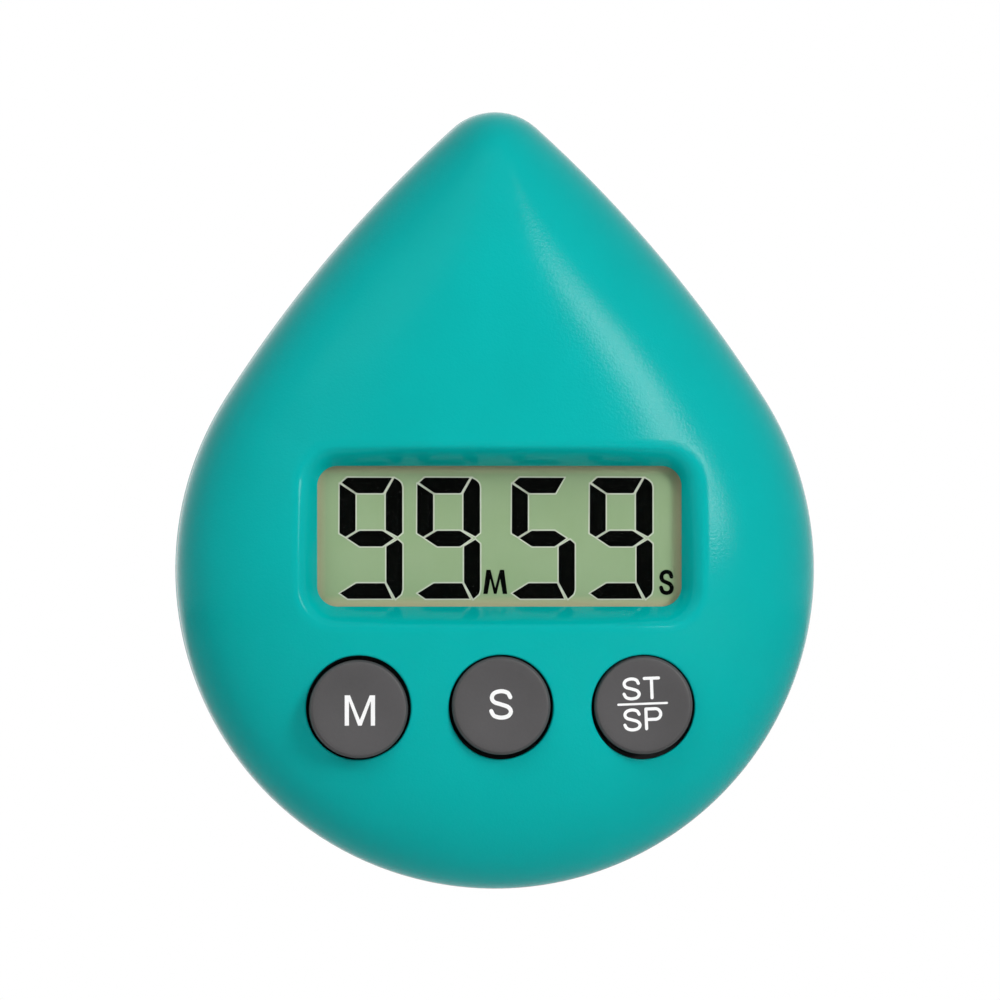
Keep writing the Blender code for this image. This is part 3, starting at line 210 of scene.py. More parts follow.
# dark and light colour, drift and grain in cycles for each metre, gloss, bump and its depth in microns
finishes = {
    "tealPlastic": ((0.0, 0.40, 0.385), (0.0, 0.425, 0.41), (60, 3600), (0.14, 0.2), (0.3, 60)),
    "buttonGrey": ((0.056, 0.054, 0.055), (0.067, 0.064, 0.066), (120, 2600), (0.42, 0.56), (0.2, 50)),
    "darkPlastic": ((0.022, 0.022, 0.024), (0.034, 0.034, 0.036), (90, 2400), (0.42, 0.6), (0.3, 60)),
    "greyRubber": ((0.16, 0.17, 0.18), (0.22, 0.23, 0.24), (150, 1800), (0.68, 0.85), (0.3, 80)),
    "blackRubber": ((0.012, 0.012, 0.012), (0.025, 0.025, 0.025), (200, 2000), (0.55, 0.75), (0.3, 60)),
    "brushedSteel": ((0.5, 0.5, 0.51), (0.66, 0.66, 0.67), (300, 1500), (0.22, 0.36), (0.1, 30)),
    "rolledBrass": ((0.62, 0.43, 0.14), (0.76, 0.56, 0.22), (260, 1400), (0.25, 0.42), (0.12, 30)),
    "silveredCeramic": ((0.66, 0.64, 0.58), (0.8, 0.78, 0.72), (300, 2800), (0.5, 0.7), (0.2, 30)),
    "whitePlastic": ((0.68, 0.68, 0.65), (0.76, 0.76, 0.73), (100, 2400), (0.4, 0.55), (0.2, 50)),
    "boardGreen": ((0.012, 0.12, 0.045), (0.03, 0.2, 0.08), (420, 1600), (0.3, 0.5), (0.25, 40)),
    "blackResin": ((0.008, 0.008, 0.01), (0.014, 0.014, 0.016), (200, 900), (0.16, 0.34), (0.15, 80)),
    "reflectorFoil": ((0.36, 0.4, 0.3), (0.5, 0.54, 0.44), (500, 3200), (0.24, 0.4), (0.2, 30)),
    "redInsulation": ((0.42, 0.012, 0.012), (0.56, 0.03, 0.025), (300, 1500), (0.35, 0.5), (0.15, 40)),
    "blackInsulation": ((0.01, 0.01, 0.01), (0.02, 0.02, 0.02), (300, 1500), (0.35, 0.5), (0.15, 40)),
    "displayGlass": ((0.272, 0.385, 0.205), (0.290, 0.400, 0.222), (220, 4200), (0.3, 0.42), (0.06, 20)),
    "displayInk": ((0.0004, 0.0005, 0.0003), (0.001, 0.0012, 0.0008), (300, 2600), (0.5, 0.65), (0.05, 10)),
    "displayHalo": ((0.57, 0.62, 0.50), (0.62, 0.66, 0.54), (300, 2600), (0.5, 0.65), (0.05, 10)),
    "labelWhite": ((0.86, 0.86, 0.86), (0.94, 0.94, 0.94), (600, 3000), (0.45, 0.6), (0.1, 20)),
    "softVinyl": ((0.78, 0.84, 0.85), (0.86, 0.91, 0.92), (90, 500), (0.1, 0.2), (0.08, 100)),
    "floorPaint": ((0.78, 0.78, 0.78), (0.8, 0.8, 0.8), (1, 40), (0.85, 0.9), (0.0, 100)),
    "clearPlastic": ((0.06, 0.07, 0.066), (0.08, 0.09, 0.086), (60, 900), (0.03, 0.07), (0.02, 30)),
}
finishSockets = {
    "Specular IOR Level": {
        "tealPlastic": 0.085, "buttonGrey": 0.4, "displayGlass": 0.25, "displayInk": 0.0,
        "displayHalo": 0.1, "softVinyl": 0.5, "floorPaint": 0.1, "clearPlastic": 0.3,
    },
    "Metallic": {"brushedSteel": 1.0, "rolledBrass": 1.0, "reflectorFoil": 0.6},
    "Alpha": {"softVinyl": 0.5, "clearPlastic": 0.012},
}
grainStretch = {"brushedSteel": (1, 1, 6), "rolledBrass": (6, 1, 1), "boardGreen": (1, 1, 3)}
micron = 1e-6


# moulded plastic, rubber or metal: a slow drift of colour, a fine grain, and gloss that follows it
def grainedFinish(name, dark, light, scales, gloss, bump):
    material = bpy.data.materials.new(name)
    material.use_nodes = True
    tree = material.node_tree
    shader = tree.nodes["Principled BSDF"]
    for socket, values in finishSockets.items():
        if name in values:
            shader.inputs[socket].default_value = values[name]
    drift = addNoise(tree, scales[0], *driftNoise)
    tree.links.new(addRamp(tree, drift, dark, light), shader.inputs["Base Color"])
    grain = addNoise(tree, scales[1], *grainNoise, grainStretch.get(name, (1, 1, 1)))
    tree.links.new(addRange(tree, grain, *gloss), shader.inputs["Roughness"])
    addBump(tree, shader, grain, bump[0], bump[1] * micron)
    return material


materials = {name: grainedFinish(name, *settings) for name, settings in finishes.items()}


# painted light: the display's glass turns a lighter beige towards the edge of its window, painted over the
# shade that the window's lip casts there
paintedEdgeLight = {
    "colour": (0.45, 0.44, 0.26), "middle": -0.0051, "half": (0.02155, 0.0083), "reach": 0.0012,
}


# mixes the painted light of the lighter beige edge into the display glass's colour
def addPaintedEdgeLight():
    g = paintedEdgeLight
    tree = materials["displayGlass"].node_tree
    shader = tree.nodes["Principled BSDF"]
    plain = shader.inputs["Base Color"].links[0].from_socket
    coords = tree.nodes.new("ShaderNodeTexCoord")
    split = tree.nodes.new("ShaderNodeSeparateXYZ")
    tree.links.new(coords.outputs["Object"], split.inputs["Vector"])
    shares = []
    for axis, middle, half in (("X", 0.0, g["half"][0]), ("Z", g["middle"], g["half"][1])):
        shift = addMath(tree, "SUBTRACT", split.outputs[axis])
        shift.inputs[1].default_value = middle
        distance = addMath(tree, "ABSOLUTE", shift.outputs["Value"])
        shares.append(addRange(tree, distance.outputs["Value"], 0.0, 1.0, (half - g["reach"], half)))
    nearest = addMath(tree, "MAXIMUM", *shares)
    mix = tree.nodes.new("ShaderNodeMixRGB")
    mix.inputs["Color2"].default_value = (*g["colour"], 1)
    tree.links.new(nearest.outputs["Value"], mix.inputs["Fac"])
    tree.links.new(plain, mix.inputs["Color1"])
    tree.links.new(mix.outputs["Color"], shader.inputs["Base Color"])


addPaintedEdgeLight()
print("finishes made:", len(materials))


# the drop's outline and dome
dropSize = {
    "bellyRadius": 37.8, "tipRadius": 7.2, "tipTop": 54.2, "flankRadius": 155.0,
    "frontDepth": 17.0, "band": 1.0, "power": 2.5,
    "ridgePower": 2.3, "ridgeFlat": 0.05, "ridgeStart": 28.0, "ridgeLength": 16.0, "endPower": 3.0,
    "crestFall": 0.085, "crestFlat": 8.0, "crestSoftness": 6.0, "crestLean": 0.7, "crestWidth": 3.0,
    "tipFall": 0.0045, "tipStart": 22.0,
}


# centre of the right flank's arc, which touches the belly and tip circles
def flankCentre():
    s = dropSize
    tipY = s["tipTop"] - s["tipRadius"]
    toBelly = s["flankRadius"] - s["bellyRadius"]
    toTip = s["flankRadius"] - s["tipRadius"]
    y = (tipY**2 + toBelly**2 - toTip**2) / (2 * tipY)
    return -math.sqrt(toBelly**2 - y**2), y


flankX, flankY = flankCentre()
tipY = dropSize["tipTop"] - dropSize["tipRadius"]
lowTurn = math.atan2(-flankY, -flankX)
highTurn = math.atan2(tipY - flankY, -flankX)


# how far out a point lies, 0 on the drop's middle line and 1 on its outline
def dropPlace(x, y, offset=0.0):
    side = abs(x)
    if math.atan2(y, side) <= lowTurn:
        return math.hypot(side, y) / (dropSize["bellyRadius"] - offset)
    if math.atan2(y - tipY, side) >= highTurn:
        return math.hypot(side, y - tipY) / (dropSize["tipRadius"] - offset)
    turn = math.atan2(y - flankY, side - flankX)
    footReach = -flankX / math.cos(turn)
    reach = math.hypot(side - flankX, y - flankY)
    return (reach - footReach) / (dropSize["flankRadius"] - offset - footReach)


# height that the dome would have over a place without its rounding, which falls softly towards the tip
def crestHeight(x, y):
    s = dropSize
    def fall(along):
        past = along - s["crestFlat"]
        return s["crestFall"] * (math.hypot(past, s["crestSoftness"]) + past) / 2
    lean = s["crestLean"] * (math.hypot(x, s["crestWidth"]) - s["crestWidth"])
    tipFall = s["tipFall"] * max(0.0, y - s["tipStart"]) ** 2
    return s["frontDepth"] - fall(max(0.0, y) - lean) + fall(0) - tipFall


# 0 under a start and 1 over a start and length, smooth between
def eased(value, start, length):
    share = min(1.0, max(0.0, (value - start) / length))
    return share * share * (3 - 2 * share)


# the rounding's power and its flat share: a soft ridge towards the tip, whose very end stays full
def roundingAt(x, y):
    s = dropSize
    ridge = eased(y, s["ridgeStart"], s["ridgeLength"])
    power = s["power"] + (s["ridgePower"] - s["power"]) * ridge
    if y > tipY:
        turn = math.atan2(y - tipY, abs(x))
        power += (s["endPower"] - power) * eased(turn, highTurn, math.pi / 2 - highTurn)
    return power, s["ridgeFlat"] * ridge


# height of the dome over the seam at a place in the outline
def domeHeight(x, y, inset=0.0):
    share = dropPlace(x, y, inset)
    if share >= 1:
        return dropSize["band"] if inset == 0 else 0.0
    power, flat = roundingAt(x, y)
    share = (math.hypot(share, flat) - flat) / (math.hypot(1, flat) - flat)
    rise = (1 - max(0.0, share) ** power) ** (1 / power)
    return dropSize["band"] + (crestHeight(x, y) - inset - dropSize["band"]) * rise


rayReach = 90.0
rayHalvings = 40


# point of the outline met by a ray from a centre inside it
def outlineAt(centre, direction, offset=0.0):
    near, far = 0.0, rayReach
    for _ in range(rayHalvings):
        middle = (near + far) / 2
        x = centre[0] + direction[0] * middle
        y = centre[1] + direction[1] * middle
        if dropPlace(x, y, offset) < 1:
            near = middle
        else:
            far = middle
    return centre[0] + direction[0] * near, centre[1] + direction[1] * near


loopCentre = (0, 12.0)
tipShare = 0.45  # more points are spent near the tip, which is far from the centre


# points round the outline, drawn in by an offset
def dropLoop(offset, count=288):
    loop = []
    for step in range(count):
        turn = math.tau * step / count
        turn += tipShare * math.sin(turn) - math.pi / 2
        loop.append(outlineAt(loopCentre, (math.cos(turn), math.sin(turn)), offset))
    return loop


# front shell
frontShell = {
    "windowCentre": (0.0, 3.97), "windowSize": (43.1, 16.6, 2.4), "recessSize": (48.5, 21.7, 4.6),
    "windowFloor": 12.0, "windowBack": 11.6,
    "slopeRings": 14, "slopePower": 1.9, "edgeSlope": 0.2, "sideSlope": 0.45,
    "edgeSoftness": 0.25, "edgeClimb": 0.6,
    "edgeRings": [0.8, 0.85, 0.9, 0.94, 0.97, 1.0, 1.03, 1.06, 1.1, 1.15, 1.2, 1.27, 1.35, 1.43, 1.5],
    "domeRings": 48, "domeSpread": 1.8,
    "cornerSteps": 14, "sideSteps": 18, "topSteps": 120, "bottomSteps": 90,
    "buttonPlaces": [(-16.76, -16.26), (0.0, -16.2), (16.86, -16.2)],
    "holeRadius": 6.16, "holeRound": 0.22, "holeSteps": 128, "holeCuts": 7, "roundSteps": 5,
    "guideEnd": 9.4, "wall": 2.0, "rimRound": 0.15, "rimCuts": 3, "ringGap": 0.03,
}
flatTall = 1.9  # the flat blank runs from -1 to 1, and its upright edges are longer than this
flatEnd = 0.999
onOutline = 0.9999
wallGap = 0.02
spotGap = 0.002
borerTall = 6


# points of a rounded rectangle at stations: shares of the two half sides, and the way out from there
def roundedRectPoints(size, stations):
    width, height, radius = size
    halfX, halfY = width / 2 - radius, height / 2 - radius
    return [(halfX * shareX + radius * outX, halfY * shareY + radius * outY)
            for shareX, shareY, outX, outY in stations]


# where the loops round the window have their points, counter-clockwise from the right side's foot
def windowStations():
    s = frontShell
    width, height, radius = s["recessSize"]
    reach = math.atan2(width / 2 - radius, height / 2)

    def upright(way):
        shares = [way * (-1 + 2 * k / s["sideSteps"]) for k in range(s["sideSteps"])]
        return [(way, share, way, 0) for share in shares]

    def corner(x, y, quarter):
        turns = [math.pi / 2 * (quarter + k / s["cornerSteps"]) for k in range(s["cornerSteps"])]
        return [(x, y, math.cos(turn), math.sin(turn)) for turn in turns]

    def level(way, steps):
        shares = [math.tan(reach * (1 - 2 * k / steps)) / math.tan(reach) * way for k in range(steps)]
        return [(share, way, 0, way) for share in shares]

    return [*upright(1), *corner(1, 1, 0), *level(1, s["topSteps"]), *corner(-1, 1, 1),
            *upright(-1), *corner(-1, -1, 2), *level(-1, s["bottomSteps"]), *corner(1, -1, 3)]


cutRadius = frontShell["holeRadius"] + frontShell["holeRound"]


# loops from the window out over its slopes to the dome, and the front and back heights of their points
def recessLoops():
    s = frontShell
    centreX, centreY = s["windowCentre"]
    stations = windowStations()
    inner = roundedRectPoints(s["windowSize"], stations)
    outer = roundedRectPoints(s["recessSize"], stations)
    loops, heights = [], []
    shares = [1 - math.cos(math.pi / 2 * ring / s["slopeRings"]) for ring in range(s["slopeRings"])]
    shares = [share for share in shares if share < s["edgeRings"][0] - s["ringGap"]] + s["edgeRings"]
    for share in shares:
        loop = []
        for (x0, y0), (x1, y1) in zip(inner, outer):
            # steepest at the window, it meets the dome at an angle, softened where they meet
            sideways = (x1 - x0) ** 2 / ((x1 - x0) ** 2 + (y1 - y0) ** 2)
            slope = s["edgeSlope"] + (s["sideSlope"] - s["edgeSlope"]) * sideways
            climb = slope * share + (1 - slope) * (1 - max(0.0, 1 - share) ** s["slopePower"])
            climb += s["edgeClimb"] * max(0.0, share - 1) ** 2
            x = centreX + x0 + (x1 - x0) * share
            y = centreY + y0 + (y1 - y0) * share
            dome = domeHeight(x, y)
            over = s["windowFloor"] + (dome - s["windowFloor"]) * climb - dome
            near = max(0.0, s["edgeSoftness"] - abs(over))
            top = dome + min(0.0, over) - near**2 / (4 * s["edgeSoftness"])
            heights.append((top, max(s["windowBack"], top - s["wall"])))
            loop.append((x, y, 0))
        loops.append(loop)
    return loops, heights


# loops that go on from one round the window to the outline
def domeLoops(first):
    s = frontShell
    middle = Vector(s["windowCentre"])
    rim = [outlineAt(middle, (Vector((x, y)) - middle).normalized()) for x, y, _ in first]
    loops = []
    for ring in range(s["domeRings"] - 1, -1, -1):
        share = 1 - (ring / s["domeRings"]) ** s["domeSpread"]
        loops.append([(x + (rimX - x) * share, y + (rimY - y) * share, 0)
                      for (x, y, _), (rimX, rimY) in zip(first, rim)])
    return loops


# the place of the button hole whose wall a point is on
def holeOf(vert):
    for place in frontShell["buttonPlaces"]:
        if abs(math.hypot(vert.co.x - place[0], vert.co.y - place[1]) - cutRadius) < wallGap:
            return place
    return None


# a flat blank through the loops, with the button holes, and rings round its walls for the rounded edges
def shellBlank(loops):
    s = frontShell
    bm = ringBody(loops, False, False)
    made = bmesh.ops.extrude_face_region(bm, geom=list(bm.faces))["geom"]
    for vert in bm.verts:
        vert.co.z = 1
    for item in made:
        if isinstance(item, bmesh.types.BMVert):
            item.co.z = -1
    bmesh.ops.recalc_face_normals(bm, faces=bm.faces)
    holes = []
    for place in s["buttonPlaces"]:
        hole = bmesh.new()
        bmesh.ops.create_cone(hole, cap_ends=True, segments=s["holeSteps"], radius1=cutRadius,
                              radius2=cutRadius, depth=borerTall)
        bmesh.ops.translate(hole, vec=(*place, 0), verts=hole.verts)
        holes.append(hole)
    bm = cutWith(bm, holes)
    upright = [edge for edge in bm.edges if abs(edge.verts[0].co.z - edge.verts[1].co.z) > flatTall]
    holeEdges = [edge for edge in upright if holeOf(edge.verts[0])]
    rimEdges = [edge for edge in upright if dropPlace(*edge.verts[0].co.xy) > onOutline]
    bmesh.ops.subdivide_edges(bm, edges=holeEdges, cuts=s["holeCuts"], use_grid_fill=True)
    bmesh.ops.subdivide_edges(bm, edges=rimEdges, cuts=s["rimCuts"], use_grid_fill=True)
    return bm


# a point on a hole's wall: the upper rings round the edge, and the lower ones go down to the guide's end
def holePoint(place, x, y, level):
    s = frontShell
    ring = (1 - level) * (s["holeCuts"] + 1) / 2
    turn = math.pi / 2 * min(1.0, ring / s["roundSteps"])
    radius = s["holeRadius"] + s["holeRound"] * (1 - math.sin(turn))
    way = Vector((x - place[0], y - place[1])).normalized()
    x = place[0] + way.x * radius
    y = place[1] + way.y * radius
    top = domeHeight(x, y) - s["holeRound"] * (1 - math.cos(turn))
    down = ring - s["roundSteps"]
    if down > 0.5:
        top += (s["guideEnd"] - top) * down / (s["holeCuts"] - s["roundSteps"])
    return x, y, top


# a point on the outline: the upper ring ends the dome's band, and the lower ones round the edge at the seam
def rimPoint(x, y, level):
    s = frontShell
    if level > flatEnd:
        return x, y, dropSize["band"]
    ring = (1 - level) * (s["rimCuts"] + 1) / 2 - 1
    turn = math.pi / 2 * ring / s["rimCuts"]
    inset = s["rimRound"] * (1 - math.cos(turn))
    way = Vector((x - s["windowCentre"][0], y - s["windowCentre"][1])).normalized()
    return x - way.x * inset, y - way.y * inset, s["rimRound"] * (1 - math.sin(turn))


# the domed front with its sloping display recess, the window and three round-edged button holes
def makeFrontShell():
    loops, heights = recessLoops()
    bm = shellBlank(loops + domeLoops(loops[-1]))
    tree = KDTree(len(heights))
    for index, spot in enumerate([spot for loop in loops for spot in loop]):
        tree.insert(spot, index)
    tree.balance()
    for vert in bm.verts:
        x, y, level = vert.co
        place = holeOf(vert)
        _, nearest, gap = tree.find((x, y, 0))
        if place and level > -flatEnd:
            vert.co = holePoint(place, x, y, level)
        elif dropPlace(x, y) > onOutline:
            vert.co = rimPoint(x, y, level)
        elif gap < spotGap:
            vert.co.z = heights[nearest][0 if level > 0 else 1]
        elif level > 0:
            vert.co.z = domeHeight(x, y)
        else:
            vert.co.z = domeHeight(x, y, frontShell["wall"])
    bmesh.ops.recalc_face_normals(bm, faces=bm.faces)
    piece = addPiece("frontShell", bm, "tealPlastic", "housing", "front_shell")
    print("front shell:", len(piece.data.vertices), "points")


makeFrontShell()


# finishes of the pieces that stay as they are in the frame
carried = {
    "brushedSteel": ["battery_cell", "battery_contact_negative", "battery_contact_positive", "crystal_can",
                     "board_screw_1", "board_screw_2", "board_screw_3", "board_screw_4"],
    "blackRubber": ["battery_o_ring", "contact_strip_bottom", "contact_strip_top",
                    "minute_pill", "second_pill", "start_stop_pill"],
    "redInsulation": ["red_battery_wire", "red_buzzer_wire"],
    "blackInsulation": ["black_battery_wire", "black_buzzer_wire"],
    "rolledBrass": ["buzzer_brass"], "silveredCeramic": ["buzzer_ceramic"], "greyRubber": ["case_gasket"],
    "blackResin": ["chip_resin"], "boardGreen": ["circuit_board"], "displayGlass": ["display_glass"],
    "whitePlastic": ["display_holder"], "reflectorFoil": ["display_reflector"],
    "clearPlastic": ["window_lens"],
}
for finishName, nodeNames in carried.items():
    for nodeName in nodeNames:
        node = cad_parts[nodeName]
        node.data.materials.clear()
        node.data.materials.append(materials[finishName])
print("carried pieces finished:", sum(len(nodeNames) for nodeNames in carried.values()))


# display: seven-segment digits and two small letters, in pixels of the photograph
display = {
    "pixel": 0.1178, "middle": (499.2, 535.8), "windowRaise": 4.1, "glassFront": 10.4,
    "layers": {
        "displayInk": {"thick": 0.03, "reach": 0.6, "letters": True},
        "displayHalo": {"thick": 0.015, "reach": 1.9, "letters": False},
    },
    "top": 478.7,
    "digits": [(339.1, "9"), (417.1, "9"), (512.2, "5"), (590.4, "9")],
    "segments": {
        "top": [(7.9, 0), (52.0, 0), (43.5, 14.5), (17.9, 14.5), (3.1, 4.4)],
        "upperLeft": [(0.6, 6.6), (15.6, 16.6), (15.6, 52.3), (6.1, 58.1), (0.6, 54.8)],
        "upperRight": [(55.4, 0.7), (58.9, 2.6), (61.6, 5.4), (62.6, 8.8), (62.6, 54.3), (58.5, 57.7),
                       (47.1, 51.7), (47.1, 15.5)],
        "middle": [(8.7, 60.2), (20.2, 53.3), (42.9, 53.3), (53.9, 60.2), (42.9, 67.9), (20.5, 67.9)],
        "lowerRight": [(58.5, 62.4), (62.7, 66.1), (62.7, 111.7), (61.4, 116.0), (56.6, 120.1),
                       (47.7, 104.1), (47.7, 68.8)],
        "bottom": [(1.5, 115.5), (17.1, 105.9), (45.0, 105.9), (52.0, 120.4), (8.7, 120.4)],
    },
    "shapes": {
        "9": ["top", "upperLeft", "upperRight", "middle", "lowerRight", "bottom"],
        "5": ["top", "upperLeft", "middle", "lowerRight", "bottom"],
    },
    "letters": [("splayedM", (495.6, 582.7), (24.2, 24.2, 4.5)), ("S", (667.6, 583.2), (14.8, 25.4, 4.1))],
    "sharpest": 0.3, "longest": 1.6,
}


# points on an arc, both ends included
def arc(centre, radius, start, sweep, steps):
    turns = [start + sweep * k / steps for k in range(steps + 1)]
    return [(centre[0] + radius * math.cos(turn), centre[1] + radius * math.sin(turn)) for turn in turns]


def addOutline(bm, points, back, front):
    # one flat shape between two heights
    face = bm.faces.new([bm.verts.new((x, y, back)) for x, y in points])
    made = bmesh.ops.extrude_face_region(bm, geom=[face])["geom"]
    raised = [item for item in made if isinstance(item, bmesh.types.BMVert)]
    bmesh.ops.translate(bm, vec=(0, 0, front - back), verts=raised)


def grown(points, reach):
    # a shape's outline moved out by a reach
    area = sum(a[0] * b[1] - b[0] * a[1] for a, b in zip(points, points[1:] + points[:1]))
    way = 1 if area > 0 else -1
    result = []
    for before, here, after in zip(points[-1:] + points[:-1], points, points[1:] + points[:1]):
        inward = (Vector(here) - Vector(before)).normalized()
        outward = (Vector(after) - Vector(here)).normalized()
        normals = Vector((inward.y, -inward.x)) * way, Vector((outward.y, -outward.x)) * way
        bisector = (normals[0] + normals[1]).normalized()
        stretch = min(display["longest"], 1 / max(display["sharpest"], bisector.dot(normals[0])))
        result.append(tuple(Vector(here) + bisector * reach * stretch))
    return result


def strokeOutline(path, width):
    # a stroke of even width round a path, with round ends
    points = [Vector(point) for point in path]
    left, right = [], []
    for index, here in enumerate(points):
        before = points[max(0, index - 1)]
        after = points[min(len(points) - 1, index + 1)]
        along = (after - before).normalized()
        across = Vector((-along.y, along.x)) * width / 2
        left.append(here + across)
        right.append(here - across)
    def cap(centre, start, steps=6):
        arm = start - centre
        return [centre + Matrix.Rotation(-math.pi * k / steps, 2) @ arm for k in range(1, steps)]
    outline = left + cap(points[-1], left[-1]) + list(reversed(right)) + cap(points[0], right[0])
    return [tuple(point) for point in outline]


def curved(points, steps=6):
    # a smooth path through points
    ends = [points[0], *points, points[-1]]
    path = []
    for p0, p1, p2, p3 in zip(ends, ends[1:], ends[2:], ends[3:]):
        for step in range(steps):
            t = step / steps
            path.append(tuple(
                b + ((c - a) + ((2 * a - 5 * b + 4 * c - d) + (3 * b - a - 3 * c + d) * t) * t) * t / 2
                for a, b, c, d in zip(p0, p1, p2, p3)))
    path.append(points[-1])
    return path


# lean is a share of the width, path of both sizes, heights of the half height, the rest of the stroke
letterShapes = {
    "M": {"lean": 0, "dip": 1.25, "valley": (-1, 1.375), "arm": 1, "shoulder": 0.62, "foot": 0.42},
    "splayedM": {"lean": 0.13, "dip": 0.95, "valley": (-0.5, 0), "arm": 0.9, "shoulder": 0.25, "foot": 0.3},
    "T": {"stem": 0.6},
    "P": {"middle": -0.06, "steps": 16},
    "S": {"path": [(0.47, 0.27), (0.33, 0.44), (0, 0.5), (-0.34, 0.43), (-0.47, 0.26), (-0.35, 0.09),
                   (0, 0), (0.36, -0.1), (0.5, -0.27), (0.36, -0.44), (0, -0.5), (-0.35, -0.43),
                   (-0.5, -0.25)]},
    "bar": {},
}


def letterOutlines(letter, width, height, stroke):
    # outlines of a plain letter, centred, of a width and height over its strokes
    shape = letterShapes[letter]
    w, h, s = width / 2, height / 2, stroke
    left, right, top, bottom = s / 2 - w, w - s / 2, h - s / 2, s / 2 - h
    if "lean" in shape:
        lean = width * shape["lean"]
        inner = w - lean - s * shape["arm"]
        valley = h * shape["valley"][0] + s * shape["valley"][1]
        half = [(w - lean - s * shape["dip"], h), (w - lean, h), (w, -h), (w - s, -h),
                (inner, h * shape["shoulder"]), (s * shape["foot"], -h)]
        other = [(-x, y) for x, y in reversed(half)]
        return [[*other[3:], (0, valley), *half, *other[:3]]]
    if letter == "T":
        return [strokeOutline([(left, top), (right, top)], s),
                strokeOutline([(0, h - s * shape["stem"]), (0, bottom)], s)]
    if letter == "P":
        middle = h * shape["middle"]
        bend = (top - middle) / 2
        bowl = arc((right - bend, middle + bend), bend, math.pi / 2, -math.pi, shape["steps"])
        return [strokeOutline([(left, top), (left, bottom)], s),
                strokeOutline([(left, top), *bowl, (left, middle)], s)]
    if letter == "S":
        return [strokeOutline(curved([(x * (width - s), y * (height - s)) for x, y in shape["path"]]), s)]
    return [strokeOutline([(left, 0), (right, 0)], s)]


def makeDisplay():
    d = display
    middleX, middleY = d["middle"]
    digits = [[(left + x, d["top"] + y) for x, y in d["segments"][segment]]
              for left, shape in d["digits"] for segment in d["shapes"][shape]]
    letters = [[(across + x, down - y) for x, y in outline]
               for letter, (across, down), size in d["letters"]
               for outline in letterOutlines(letter, *size)]
    pixel, raised, back = d["pixel"], d["windowRaise"], d["glassFront"]
    for name, layer in d["layers"].items():
        bm = bmesh.new()
        shapes = [grown(points, layer["reach"]) for points in digits]
        for shape in shapes + (letters if layer["letters"] else []):
            points = [((x - middleX) * pixel, (middleY - y) * pixel + raised) for x, y in shape]
            addOutline(bm, points, back, back + layer["thick"])
        bmesh.ops.recalc_face_normals(bm, faces=bm.faces)
        addPiece(name, bm, name, "housing")
    print("display drawn")


makeDisplay()


# button caps and their lettering
buttons = {
    "radius": 5.8, "proud": 0.8, "faceRadius": 5.52, "chamfer": 0.34, "dish": 0.2, "edgeRound": 0.1,
    "flange": (7.1, 8.9, 8.0),
    "dishShare": 0.93, "dishPower": 1.5, "faceSteps": 14, "edgeSteps": 3,
    "labelThick": 0.03, "labelSink": 0.005,
    "caps": {
        "minute_button": {
            "place": (-16.76, -16.42), "tilt": 0.0,
            "letters": [("M", 0.1, -0.17, 3.58, 3.58, 0.5)],
        },
        "second_button": {
            "place": (0.0, -16.02), "tilt": 0.0,
            "letters": [("S", -0.04, 0.15, 2.8, 3.6, 0.48)],
        },
        "start_stop_button": {
            "place": (16.86, -15.96), "tilt": 2.2,
            "letters": [
                ("S", -1.36, 1.96, 2.16, 2.72, 0.37), ("T", 1.04, 1.98, 2.06, 2.68, 0.37),
                ("bar", -0.1, 0.15, 6.0, 0.27, 0.26),
                ("S", -1.4, -1.7, 2.16, 2.72, 0.37), ("P", 1.12, -1.64, 2.1, 2.7, 0.37),
            ],
        },
    },
}


def capFace(radius):
    # depth of the dished face under its rim
    share = min(1.0, radius / (buttons["faceRadius"] * buttons["dishShare"]))
    return -buttons["dish"] * (1 - share * share) ** buttons["dishPower"]


def makeButtons():
    b = buttons
    for node, cap in b["caps"].items():
        x, y = cap["place"]
        face = domeHeight(x, y) + b["proud"]
        flangeRadius, flangeFront, flangeBack = b["flange"]
        radii = [b["faceRadius"] * k / b["faceSteps"] for k in range(b["faceSteps"])]
        profile = [(radius, face + capFace(radius)) for radius in radii]
        rim = [
            (b["faceRadius"], face),
            (b["radius"], face - b["chamfer"]),
            (b["radius"], flangeFront),
            (flangeRadius, flangeFront),
            (flangeRadius, flangeBack),
            (0, flangeBack),
        ]
        profile += roundedProfile([profile[-1], *rim], b["edgeRound"], b["edgeSteps"])[1:]
        name = node.replace("_", "")
        turned = spun(profile, (x, y))
        addPiece(name + "Cap", turned, "buttonGrey", node, node, sharpAngle=60)
        label = bmesh.new()
        for letter, across, up, width, height, stroke in cap["letters"]:
            for outline in letterOutlines(letter, width, height, stroke):
                addOutline(label, [(px + across, py + up) for px, py in outline], 0, b["labelThick"])
        tilt = Matrix.Rotation(math.radians(cap["tilt"]), 3, "Z")
        bmesh.ops.rotate(label, cent=(0, 0, 0), matrix=tilt, verts=label.verts)
        for vert in label.verts:
            height = face + capFace(math.hypot(vert.co.x, vert.co.y)) - b["labelSink"]
            vert.co += Vector((x, y, height))
        bmesh.ops.recalc_face_normals(label, faces=label.faces)
        addPiece(name + "Label", label, "labelWhite", node)
    print("buttons made")


makeButtons()


